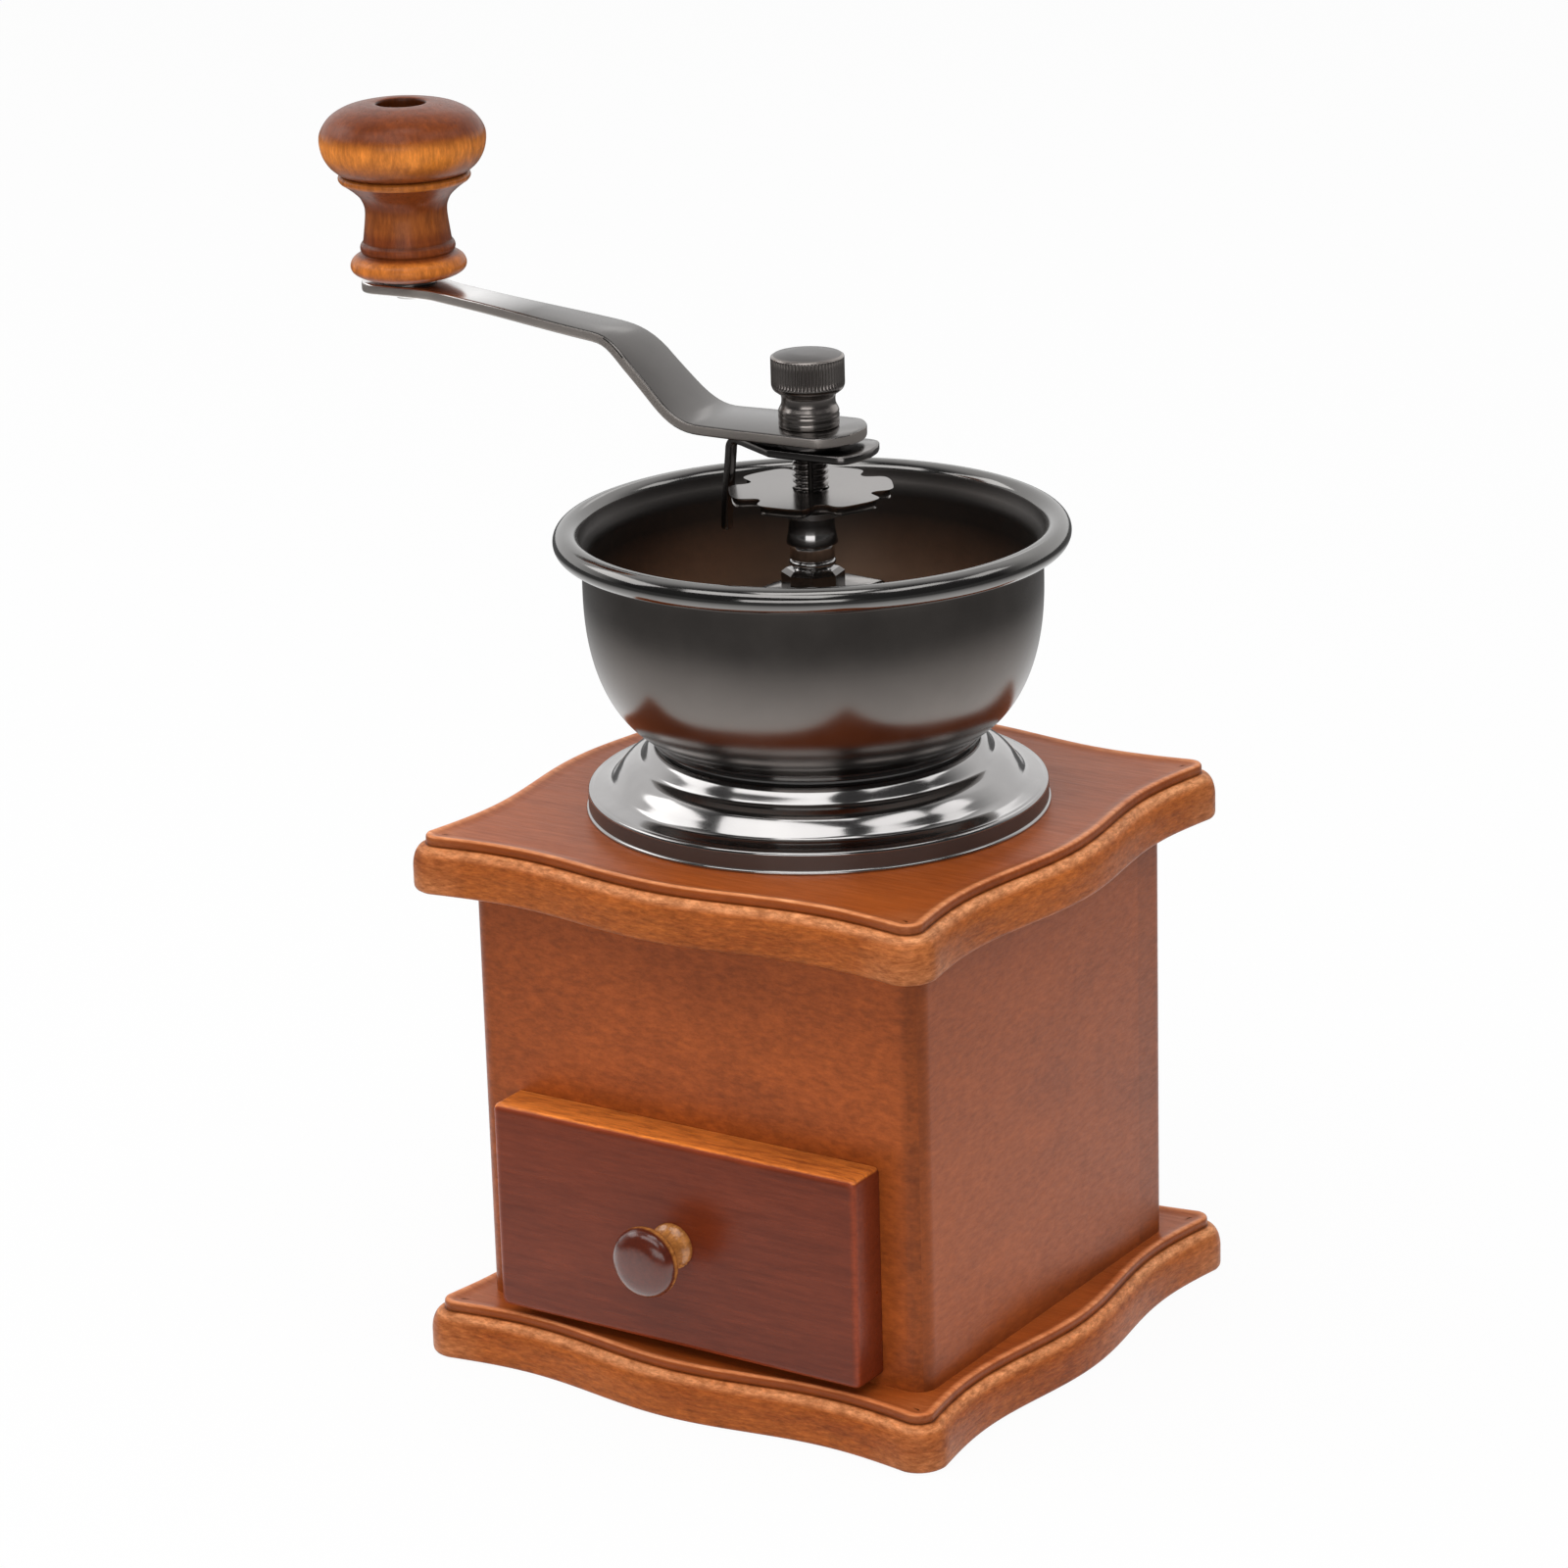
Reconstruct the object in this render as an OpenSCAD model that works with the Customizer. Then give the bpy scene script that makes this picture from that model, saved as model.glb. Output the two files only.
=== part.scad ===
// Hand coffee grinder: a wooden box with a drawer, an open metal hopper and a crank.
// Origin: centre of the underside of the base board. +Z is up and the drawer faces -Y.

/* [Wooden case] */
// Width of the case between the boards
case_w = 87; // [80:1:96]
// Depth of the case between the boards
case_d = 80; // [74:1:88]
// How far the base board reaches past each side of the case
board_reach = 7.1; // [5:0.1:10]
// How far the base board reaches past the front and back of the case
board_reach_front = 10.6; // [9.5:0.1:14]
// How much less the top board reaches all round
top_step = 0.6; // [0:0.1:2]
// Thickness of the base and top boards
board_t = 9; // [8:0.5:12]
// How far the moulded edge stands out past the raised bead
board_ledge = 2.1; // [1:0.1:3]
// Radius of the moulded edge at the board corners
board_corner_r = 5.2; // [4:0.2:8]
// Height of the wave along each side of a board
board_wave = 1.6; // [0:0.1:2.2]
// Height of the case panels
case_h = 74; // [70:1:84]
// Thickness of the case panels
panel_t = 7; // [5:0.5:8]
// Radius of the upright corners of the case
case_corner_r = 3.3; // [1:0.1:5]

/* [Drawer] */
// Width of the case left showing on each side of the drawer face
face_side = 8; // [6:0.1:12]
// Height of the drawer face
face_h = 36.2; // [34:0.2:44]
// Thickness of the drawer face
face_t = 7.5; // [5:0.5:10]
// Gap between the base board and the drawer face
face_lift = 2; // [0.6:0.1:3]
// How far the drawer face overlaps its opening on each side
face_lap = 2.6; // [1.5:0.1:4]
// Space between the drawer box and the back panel
drawer_room = 5.1; // [2:0.1:12]
// Thickness of the drawer sides and back
drawer_wall = 3.6; // [2.5:0.1:5]
// Thickness of the drawer bottom
drawer_floor = 2.4; // [1.8:0.1:4]
// Running clearance of the drawer on each side
drawer_gap = 0.4; // [0.2:0.1:1]
// Largest diameter of the drawer knob
pull_d = 12; // [9:0.5:16]
// Length of the drawer knob
pull_l = 10.6; // [8:0.2:16]

/* [Hopper] */
// Radius of the bowl wall
bowl_r = 38; // [34:0.5:41]
// Radius over the rolled rim
rim_r = 42.6; // [38.5:0.1:48]
// Radius of the rolled rim's own tube
rim_tube_r = 2.15; // [1.2:0.05:2.2]
// Height from the bowl floor's underside to the middle of the rolled rim
bowl_h = 34.2; // [30:0.2:46]
// Radius where the bowl curve meets its foot ring
bowl_foot_r = 27.6; // [25:0.2:30]
// Thickness of the bowl and stand metal
sheet_t = 1; // [0.6:0.1:1.6]
// Radius of the stand under the bowl
stand_r = 38.7; // [35:0.1:42]
// Height of the stand
stand_h = 12; // [9:0.5:18]
// Height of the upright wall of the stand
stand_wall_h = 3.4; // [2:0.1:5]
// Radius of the bean throat
throat_r = 14; // [12.5:0.1:15]
// Direction of the bearing bridge, in degrees from +X
bridge_angle = 83; // [0:1:179]
// Height of the bridge over the bowl floor
bridge_h = 24; // [20:0.5:28]
// Half length of the top of the bridge
bridge_reach = 11.2; // [11:0.1:14]
// Width of the bridge strap
bridge_w = 14; // [9:0.2:16]
// Thickness of the bridge strap
bridge_t = 1.5; // [1:0.1:2.5]

/* [Grinding set] */
// Radius of the spindle, which carries an M6 thread at its top
spindle_r = 2.95; // [2.6:0.05:3.4]
// Radial running clearance of the spindle in its bearings
bearing_gap = 0.05; // [0.02:0.01:0.1]
// Largest radius of the cone burr
cone_r = 12.1; // [10.5:0.1:12.5]
// Radius of the cone burr at its top
cone_top_r = 6.8; // [6:0.1:8]
// Height of the cone burr
cone_h = 19.8; // [16:0.2:22]
// Grinding gap between the burrs as assembled
grind_gap = 0.4; // [0.3:0.05:0.8]
// Number of grooves in the cone burr
cone_teeth = 16; // [10:1:20]
// Number of grooves in the ring burr
ring_teeth = 20; // [12:1:24]
// Outer radius of the ring burr
ring_r = 16.4; // [15.5:0.1:17]
// Wall of the burr housing round the ring burr
housing_wall = 5.4; // [4:0.2:7]
// Radius of the spring
spring_r = 5.7; // [5.3:0.1:6.5]
// Radius of the spring wire
spring_wire_r = 0.5; // [0.4:0.05:0.7]
// Turns of the spring
spring_turns = 9; // [5:1:12]
// Tip radius of the six-toothed adjusting wheel
wheel_r = 12.85; // [11:0.05:13]
// Radius to the bottom of the wheel's notches
wheel_notch_r = 9.7; // [8.5:0.1:11]
// Thickness of the adjusting wheel
wheel_t = 1.6; // [1:0.1:2.4]
// Direction of one tooth of the adjusting wheel, in degrees from +X
wheel_angle = 40; // [0:1:59]
// Gap between the adjusting wheel and the lock plate
lock_lift = 6.1; // [4:0.05:9]
// Height of the bearing sleeve over the bridge
sleeve_h = 12.3; // [11:0.1:16]

/* [Crank] */
// Distance from the spindle to the crank knob
crank_l = 76.2; // [64:0.2:90]
// Rise of the crank from its hub to its eye
crank_rise = 17.5; // [12:0.1:26]
// Part of that rise in the bend beside the hub
bend_rise = 12.4; // [8:0.1:16]
// Thickness of the crank
crank_t = 1.8; // [1.4:0.1:3]
// Radius of the crank hub
hub_r = 9.3; // [8:0.1:11]
// Radius of the crank's rounded outer end
eye_r = 5.1; // [4.5:0.1:8]
// How far the middle of that end lies past the knob
eye_reach = 3.6; // [0:0.1:5]
// Width of the crank arm where it leaves the hub
arm_hub_w = 15; // [11:0.2:17]
// Width of the crank arm at the top of its bend
arm_mid_w = 9.8; // [7:0.1:14]
// Width of the crank arm before its outer end
arm_eye_w = 7.8; // [6:0.1:12]
// Direction of the crank as shown, in degrees from +X
crank_angle = 184; // [0:1:359]
// Thickness of the lock plate
lock_t = 1.5; // [1:0.1:2.2]
// Width of the lock plate
lock_w = 12.6; // [10:0.2:20]
// Reach of the lock plate behind the spindle
lock_reach = 11.3; // [9:0.1:15]
// Radius of the raised boss on the lock plate
lock_boss_r = 5.6; // [4.5:0.1:8]
// Height of that boss
lock_boss_h = 1.05; // [0.6:0.05:2]
// Distance from the spindle to the lock finger
finger_reach = 14.6; // [13.3:0.1:16]
// Length of the lock finger below the plate
finger_l = 15.4; // [8:0.1:18]
// Width of the lock finger
finger_w = 2.6; // [2:0.1:6]
// Inner radius of the finger's bend
finger_bend = 1; // [0.6:0.1:2]
// Greatest radius of the crank knob
knob_r = 14; // [11:0.1:18]
// Height of the crank knob
knob_h = 29.75; // [24:0.05:40]
// Radius of the recess in the top of the crank knob
knob_recess_r = 4.1; // [3.7:0.1:5]

/* [Hidden] */
$fn = 96;
fit = 0.05;
skin = 0.01;

// Widths and heights of the case
base_w = case_w + 2 * board_reach;
base_d = case_d + 2 * board_reach_front;
case_z = board_t;
top_z = case_z + case_h;
deck_z = top_z + board_t;
stand_top = deck_z + stand_h;
bowl_floor = stand_top + sheet_t;
rim_z = stand_top + bowl_h;
bridge_z = bowl_floor + bridge_h;

// Drawer sizes and places
face_w = case_w - 2 * face_side;
face_z = case_z + face_lift;
face_back = -case_d / 2 - 0.1;
face_front = face_back - face_t;
opening_w = face_w - 2 * face_lap;
opening_z = face_z + face_lap - 0.5;
opening_h = face_h - 2 * face_lap;
box_w = opening_w - 2 * drawer_gap;
box_z = opening_z + drawer_gap;
box_h = opening_h - 2 * drawer_gap;
box_back = case_d / 2 - panel_t - drawer_room;
drawer_d = box_back - face_back;
floor_lift = 2;
floor_groove = 1.5;
runner_w = 6;
guide_t = case_w / 2 - panel_t - box_w / 2 - drawer_gap;
guide_h = 6;
pull_z = face_z + face_h / 2;
pull_bore_r = 1.25;
pull_screw_grip = 4.8;

// Board profile, from its underside to its top, as [inset, height]
ovolo_z = board_t - 5.1;
bead_z = board_t - 1.3;
board_profile = concat(
    [[0.9, 0], [0.25, 0.3], [0, 0.9]],
    [for (a = [0 : 18 : 90]) [board_ledge * (1 - cos(a)), ovolo_z + (bead_z - ovolo_z) * sin(a)]],
    [[board_ledge + 0.25, bead_z + 0.1], [board_ledge, bead_z + 0.4],
     [board_ledge + 0.1, board_t - 0.3], [board_ledge + 0.5, board_t]]);
side_steps = 20;
corner_steps = 6;

// Heights of the grinding set, from the bottom bearing up
housing_low = top_z - 13;
flange_low = top_z - 4.5;
flange_r = ring_r + housing_wall + 6.8;
flange_screw_r = flange_r - 3.4;
body_r = ring_r + housing_wall;
neck_r = throat_r + 5.4;
ring_h = 18;
strap_t = 2.2;
strap_w = 9;
strap_screw_r = ring_r + housing_wall / 2;
boss_r = 5;
boss_h = 5.5;
journal_r = spindle_r - 0.45;
groove_floor_r = spindle_r - 0.5;
travel_down = 1;
shoulder_z = housing_low + travel_down + 0.15;
clip_t = 0.7;
clip_r = 5;
clip_mouth = 3.2;
clip_z = shoulder_z + 0.8;
cone_z = clip_z + clip_t + fit;
fine_h = 5.5;
cone_slope = (cone_r - cone_top_r) / cone_h;
waist_z = cone_z + fine_h;
waist_r = cone_r - cone_slope * fine_h + grind_gap;
pin_r = 1;
pin_l = 11;
pin_z = cone_z + cone_h - pin_r - 0.1;
seat_r = 7;
seat_t = 1;
seat_z = cone_z + cone_h + fit;
spring_z0 = seat_z + seat_t;
spring_z1 = bridge_z - bridge_t - fit;
spring_rise = spring_z1 - spring_z0 - 2 * spring_wire_r;
spring_pitch = spring_rise / spring_turns;
foot_screw_r = throat_r + 2.9;
foot_end = throat_r + 7.4;

// Heights of the wheel, lock plate, crank and nut
sleeve_spigot_r = 4.2;
sleeve_collar_r = 5.25;
sleeve_neck_r = 3.9;
sleeve_bead_z = 8.6;
washer_z = bridge_z + sleeve_h + fit;
washer_t = 1;
washer_r = 4.7;
wheel_hub_z = washer_z + washer_t + fit;
wheel_hub_r = 4.3;
wheel_hub_h = 1.8;
wheel_z = wheel_hub_z + wheel_hub_h;
lock_z = wheel_z + wheel_t + lock_lift;
hub_z = lock_z + lock_t + lock_boss_h + fit;
nut_z = hub_z + crank_t + fit;
nut_h = 12.4;
nut_foot_r = 5;
nut_waist_r = 4.3;
grip_r = 6;
grip_z = 5.7;
dome_h = 1.1;
spindle_top = nut_z + 9.6;
flats_z = washer_z - travel_down - 0.6;
flats_half = spindle_r - 0.5;
eye_z = hub_z + crank_rise;
bend_start = 18.5;
bend_end = 37.5;
rivet_r = 2.1;
rivet_head_r = 3;
eye_start = crank_l - rivet_head_r;
rivet_head_h = 0.9;
knob_washer_r = 4.6;
knob_washer_t = 0.5;
knob_z = eye_z + crank_t + knob_washer_t + 0.15;
knob_screw_r = 3.3;
knob_screw_h = 2;
recess_d = 10;

// Screws, as radius, head radius, head height and length
bowl_screw_r = 1.5;
bowl_screw_head_r = 2.7;
bowl_screw_head_h = 1.8;
bridge_screw_l = 10;
bowl_screw_l = 9;
bearing_screw_r = 1.25;
bearing_screw_head_r = 2.4;
bearing_screw_head_h = 1.6;
bearing_screw_l = 7;
housing_screw_r = 1.4;
housing_screw_head_r = 2.9;
housing_screw_head_h = 1.8;
housing_screw_l = 11;
housing_screw_turns = [30, 150, 270];

wood = [0.56, 0.27, 0.13];
dark_wood = [0.36, 0.17, 0.13];
gunmetal = [0.36, 0.35, 0.36];
iron = [0.2, 0.2, 0.21];
steel = [0.66, 0.66, 0.68];

// Shared shapes

// Wavy outline of a board, drawn in by an inset: each side has half a length and a distance from the middle
function wave(t) = board_wave * cos(270 * t);
function side_points(half, away, r) =
    [for (i = [0 : side_steps]) let (t = 2 * i / side_steps - 1) [t * (half - r), -away - wave(t)]];
function corner_points(half, away, r) =
    [for (i = [1 : corner_steps - 1]) let (a = 90 * i / corner_steps - 90)
        [half - r + r * cos(a), -away + r + r * sin(a)]];
function turned(points, a) = [for (p = points) [p.x * cos(a) - p.y * sin(a), p.x * sin(a) + p.y * cos(a)]];
function board_outline(less, inset) =
    let (halves = [base_w / 2 - less - inset, base_d / 2 - less - inset], r = board_corner_r - inset)
    [for (k = [0 : 3]) let (half = halves[k % 2], away = halves[(k + 1) % 2],
        side = concat(side_points(half, away, r), corner_points(half, away, r)))
        for (p = turned(side, 90 * k)) p];

// Solid swept through closed rings of equally many points, lowest ring first
module skin_rings(rings) {
    n = len(rings[0]);
    last = len(rings) - 1;
    points = [for (ring = rings) for (p = ring) p];
    walls = [for (j = [0 : last - 1]) for (i = [0 : n - 1])
        let (a = j * n + i, b = j * n + (i + 1) % n)
        for (f = [[a, b + n, b], [a, a + n, b + n]]) f];
    floor_face = [for (i = [0 : n - 1]) i];
    roof_face = [for (i = [n - 1 : -1 : 0]) last * n + i];
    polyhedron(points, concat([floor_face, roof_face], walls), convexity = 6);
}

module moulded_board(less) {
    skin_rings([for (step = board_profile)
        [for (p = board_outline(less, step[0])) [p.x, p.y, step[1]]]]);
}

module tube(outer, inner, h) {
    difference() {
        cylinder(r = outer, h = h);
        translate([0, 0, -1]) cylinder(r = inner, h = h + 2);
    }
}

// Round bar with two flats
module flatted_bar(r, half, h) {
    intersection() {
        cylinder(r = r, h = h);
        translate([-half, -r - 1, 0]) cube([2 * half, 2 * r + 2, h]);
    }
}

// Countersunk screw with its tip up, its head flush with z = 0
module countersunk_screw(head_r, shank_r, l, $fn = 40) {
    cylinder(r1 = head_r, r2 = shank_r, h = head_r - shank_r);
    cylinder(r = shank_r, h = l - shank_r);
    translate([0, 0, l - shank_r]) cylinder(r1 = shank_r, r2 = 0.2, h = shank_r);
}

// Pan head screw with its tip down, its head standing on z = 0
module pan_screw(head_r, head_h, shank_r, l, $fn = 40) {
    difference() {
        union() {
            cylinder(r = head_r, h = head_h / 2);
            translate([0, 0, head_h / 2]) cylinder(r1 = head_r, r2 = head_r * 0.7, h = head_h / 2);
        }
        translate([-head_r, -0.3, head_h * 0.55]) cube([2 * head_r, 0.6, head_h]);
    }
    translate([0, 0, -l]) cylinder(r = shank_r, h = l + skin);
}

module around(r, angles) {
    for (a = angles) rotate(a) translate([r, 0, 0]) children();
}

// Case

base_screw_r = 1.6;
base_screw_head_r = 3.4;
base_screw_l = 22;
base_screw_sink = 0.3;
base_screw_spots = [for (sx = [-1, 1]) for (sy = [-1, 1])
    [sx * (case_w - panel_t) / 2, sy * case_d * 0.3]];
dowel_r = 2;
dowel_l = 12;
dowel_spots = [for (sx = [-1, 1]) for (sy = [-1, 1]) [sx * (case_w - panel_t) / 2, sy * case_d * 0.33]];

module base_board() {
    color(wood) difference() {
        moulded_board(0);
        for (p = base_screw_spots) translate([p.x, p.y, -skin]) {
            cylinder(r = base_screw_r + fit, h = board_t + 1);
            cylinder(r1 = base_screw_head_r + fit + skin, r2 = base_screw_r + fit,
                h = base_screw_head_r - base_screw_r + skin);
        }
    }
}

module top_board() {
    color(wood) difference() {
        translate([0, 0, top_z]) moulded_board(top_step);
        translate([0, 0, top_z - 1]) cylinder(r = neck_r + 0.2, h = board_t + 2);
        for (p = dowel_spots) translate([p.x, p.y, top_z - 1])
            cylinder(r = dowel_r + fit, h = dowel_l / 2 + 1.2);
        translate([0, 0, top_z - 1]) around(flange_screw_r, housing_screw_turns)
            cylinder(r = housing_screw_r + fit, h = housing_screw_l - top_z + flange_low + 1.2);
    }
}

// Panel in plan: mitred at both ends, seen with its outer face along -Y
module mitred_panel(w, d) {
    intersection() {
        linear_extrude(case_h) polygon([
            [-w / 2, -d / 2], [w / 2, -d / 2],
            [w / 2 - panel_t, -d / 2 + panel_t], [-w / 2 + panel_t, -d / 2 + panel_t]]);
        linear_extrude(case_h) rounded_plan(w, d, case_corner_r);
    }
}

module rounded_plan(w, d, r) {
    square([w - 2 * r, d], center = true);
    square([w, d - 2 * r], center = true);
    for (sx = [-1, 1]) for (sy = [-1, 1])
        translate([sx * (w / 2 - r), sy * (d / 2 - r)]) circle(r = r);
}

module front_panel() {
    color(wood) difference() {
        translate([0, 0, case_z]) mitred_panel(case_w, case_d);
        translate([-opening_w / 2, -case_d / 2 - 1, opening_z]) cube([opening_w, panel_t + 2, opening_h]);
    }
}

module back_panel() {
    color(wood) translate([0, 0, case_z]) rotate(180) mitred_panel(case_w, case_d);
}

module side_panel(turn) {
    difference() {
        translate([0, 0, case_z]) rotate(turn) mitred_panel(case_d, case_w);
        for (p = base_screw_spots) translate([p.x, p.y, case_z - 1])
            cylinder(r = base_screw_r + fit, h = base_screw_l - board_t + 1.5);
        for (p = dowel_spots) translate([p.x, p.y, top_z - dowel_l / 2 - 0.2])
            cylinder(r = dowel_r + fit, h = dowel_l);
    }
}

module left_panel() {
    color(wood) side_panel(-90);
}

module right_panel() {
    color(wood) side_panel(90);
}

// Wooden runner that carries one edge of the drawer and guides its side
module runner() {
    low = box_z - case_z - 0.1;
    front = -case_d / 2 + panel_t;
    run = case_d - 2 * panel_t;
    translate([0, front, case_z]) {
        translate([case_w / 2 - panel_t - runner_w, 0, 0]) cube([runner_w, run, low]);
        translate([case_w / 2 - panel_t - guide_t, 0, 0]) cube([guide_t, run, low + guide_h]);
    }
}

module right_runner() {
    color(wood) runner();
}

module left_runner() {
    color(wood) mirror([1, 0, 0]) runner();
}

module base_screws() {
    color(steel) for (p = base_screw_spots) translate([p.x, p.y, base_screw_sink])
        countersunk_screw(base_screw_head_r - base_screw_sink, base_screw_r, base_screw_l);
}

module top_dowels() {
    color(wood) for (p = dowel_spots) translate([p.x, p.y, top_z - dowel_l / 2])
        cylinder(r = dowel_r, h = dowel_l);
}

// Hopper

// Bell-shaped stand: upright wall, bead, hollow shoulder, and a ring that carries the bowl
stand_top_r = bowl_foot_r - 1.3;
function stand_line(inset) = [
    [stand_r - inset, 0],
    [stand_r - inset, stand_wall_h - 0.4 - inset / 2],
    [stand_r - 0.4 - inset, stand_wall_h - inset / 2],
    [stand_r - 1.5 - inset, stand_wall_h + 0.1 - inset / 2],
    for (t = [0 : 0.125 : 1]) let (r = stand_r - 2.2 + (stand_top_r - stand_r + 2.2) * t)
        [r - inset, stand_wall_h + 0.9 - inset / 2 + (stand_h - stand_wall_h - 2.2) * pow(t, 0.85)]];

module hopper_stand() {
    outer = stand_line(0);
    inner = stand_line(sheet_t);
    color(gunmetal) translate([0, 0, deck_z]) difference() {
        rotate_extrude() polygon(concat(
            outer, [[stand_top_r, stand_h], [throat_r, stand_h], [throat_r, stand_h - sheet_t],
                [stand_top_r - 3, stand_h - sheet_t]],
            [for (i = [len(inner) - 1 : -1 : 0]) inner[i]]));
        translate([0, 0, stand_h / 2]) screw_ring(bowl_screw_r + 0.1, stand_h);
    }
}

// The four holes shared by the bowl floor, the stand and the burr housing
module screw_ring(r, h, $fn = 40) {
    rotate(bridge_angle) around(foot_screw_r, [0, 90, 180, 270]) cylinder(r = r, h = h);
}

// Open bowl: foot ring, curved bottom, straight wall and a rolled rim
bowl_curve_r = 24;
bowl_curve_h = 25.5;
function bowl_line(inset) = [
    for (u = [0.28 : 0.08 : 1]) let (q = 1 - u * u)
        [bowl_curve_r - inset + (bowl_r - bowl_curve_r) * sqrt(1 - pow(q, 2.3)),
         0.5 + inset + bowl_curve_h * (1 - q)]];

module hopper_bowl() {
    outer = bowl_line(0);
    inner = bowl_line(sheet_t);
    rim_mid = rim_r - rim_tube_r;
    color(gunmetal) translate([0, 0, stand_top]) difference() {
        rotate_extrude() {
            polygon(concat(
                [[throat_r, 0], [bowl_foot_r, 0], [bowl_foot_r, 1.2]],
                outer,
                [[bowl_r, bowl_h - 3.4], [rim_mid - 1.2, bowl_h - 1], [rim_mid - 1.2, bowl_h + 1],
                 [bowl_r - sheet_t + 0.3, bowl_h - 1.6], [bowl_r - sheet_t, bowl_h - 3.4]],
                [for (i = [len(inner) - 1 : -1 : 0]) inner[i]],
                [[bowl_foot_r - 3, sheet_t], [throat_r, sheet_t]]));
            translate([rim_mid, bowl_h]) circle(r = rim_tube_r, $fn = 48);
        }
        translate([0, 0, -1]) screw_ring(bowl_screw_r + 0.1, sheet_t + 3);
    }
}

// Pressed strap: two feet on the bowl floor, two legs and a flat top for the sleeve
module bridge_profile() {
    r = 2.4;
    high = bridge_h;
    difference() {
        union() {
            translate([-bridge_reach + r, 0]) square([2 * (bridge_reach - r), high]);
            translate([-bridge_reach, 0]) square([2 * bridge_reach, high - r]);
            for (s = [-1, 1]) translate([s * (bridge_reach - r), high - r]) circle(r = r);
            translate([-foot_end, 0]) square([2 * foot_end, bridge_t]);
        }
        translate([-bridge_reach + bridge_t, -1]) square([2 * (bridge_reach - bridge_t), high - bridge_t + 1]);
    }
}

module bearing_bridge() {
    color(gunmetal) translate([0, 0, bowl_floor + skin]) rotate(bridge_angle) difference() {
        intersection() {
            rotate([90, 0, 0]) translate([0, 0, -bridge_w / 2]) linear_extrude(bridge_w) bridge_profile();
            cylinder(r = foot_end, h = bridge_h + 1);
        }
        translate([0, 0, bridge_h - bridge_t - 1]) cylinder(r = sleeve_spigot_r, h = bridge_t + 2);
        around(foot_screw_r, [0, 180]) translate([0, 0, -1])
            cylinder(r = bowl_screw_r + 0.1, h = bridge_t + 2.5, $fn = 40);
    }
}

module bearing_sleeve() {
    spigot = bridge_t + 0.7;
    color(gunmetal) translate([0, 0, bridge_z + 2 * skin]) difference() {
        rotate_extrude() polygon(concat(
            [[0, -spigot], [sleeve_spigot_r + 0.2, -spigot], [sleeve_spigot_r, -bridge_t - 0.1],
             [sleeve_spigot_r - fit, 0], [sleeve_collar_r, 0], [sleeve_collar_r, sleeve_bead_z / 2],
             [sleeve_neck_r + 0.5, sleeve_bead_z - 3.4], [sleeve_neck_r, sleeve_bead_z - 3],
             [sleeve_neck_r - 0.1, sleeve_bead_z - 1.4]],
            [for (a = [-70 : 20 : 70]) [sleeve_neck_r - 0.2 + 0.8 * cos(a), sleeve_bead_z + 1.25 * sin(a)]],
            [[sleeve_neck_r, sleeve_bead_z + 1.6], [sleeve_neck_r, sleeve_h], [0, sleeve_h]]));
        translate([0, 0, -spigot - 1]) cylinder(r = spindle_r + bearing_gap, h = sleeve_h + spigot + 2);
    }
}

module bridge_screws() {
    color(steel) translate([0, 0, bowl_floor + bridge_t + 2 * skin]) rotate(bridge_angle)
        around(foot_screw_r, [0, 180])
            pan_screw(bowl_screw_head_r, bowl_screw_head_h, bowl_screw_r, bridge_screw_l);
}

module bowl_screws() {
    color(steel) translate([0, 0, bowl_floor + skin]) rotate(bridge_angle)
        around(foot_screw_r, [90, 270])
            pan_screw(bowl_screw_head_r, bowl_screw_head_h, bowl_screw_r, bowl_screw_l);
}

// Grinding set

// Cast housing: neck through the top board, flange under it, and a seat for the ring burr
module burr_housing() {
    neck_top = stand_top - sheet_t - skin;
    color(iron) difference() {
        union() {
            translate([0, 0, housing_low]) cylinder(r = body_r, h = top_z - housing_low);
            translate([0, 0, housing_low]) cylinder(r = neck_r, h = neck_top - housing_low);
            translate([0, 0, flange_low]) cylinder(r = flange_r, h = top_z - flange_low - skin);
        }
        translate([0, 0, housing_low - 1]) cylinder(r = throat_r, h = neck_top);
        translate([0, 0, housing_low - 1]) cylinder(r = ring_r + fit, h = ring_h + 1 + fit);
        translate([0, 0, neck_top - bowl_screw_l]) screw_ring(bowl_screw_r + fit, bowl_screw_l + 3);
        translate([0, 0, housing_low - 1]) around(strap_screw_r, [0, 180])
            cylinder(r = bearing_screw_r + fit, h = bearing_screw_l, $fn = 40);
        translate([0, 0, flange_low - 1]) around(flange_screw_r, housing_screw_turns)
            cylinder(r = housing_screw_r + 0.4, h = top_z - flange_low + 2.5, $fn = 40);
    }
}

// Groove tool: a wedge laid along a cone's side, its edge pointing at the axis
module groove(depth, half_angle) {
    linear_extrude(60, center = true) polygon([
        [-depth, 0], [2, (depth + 2) * tan(half_angle)], [2, -(depth + 2) * tan(half_angle)]]);
}

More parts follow.
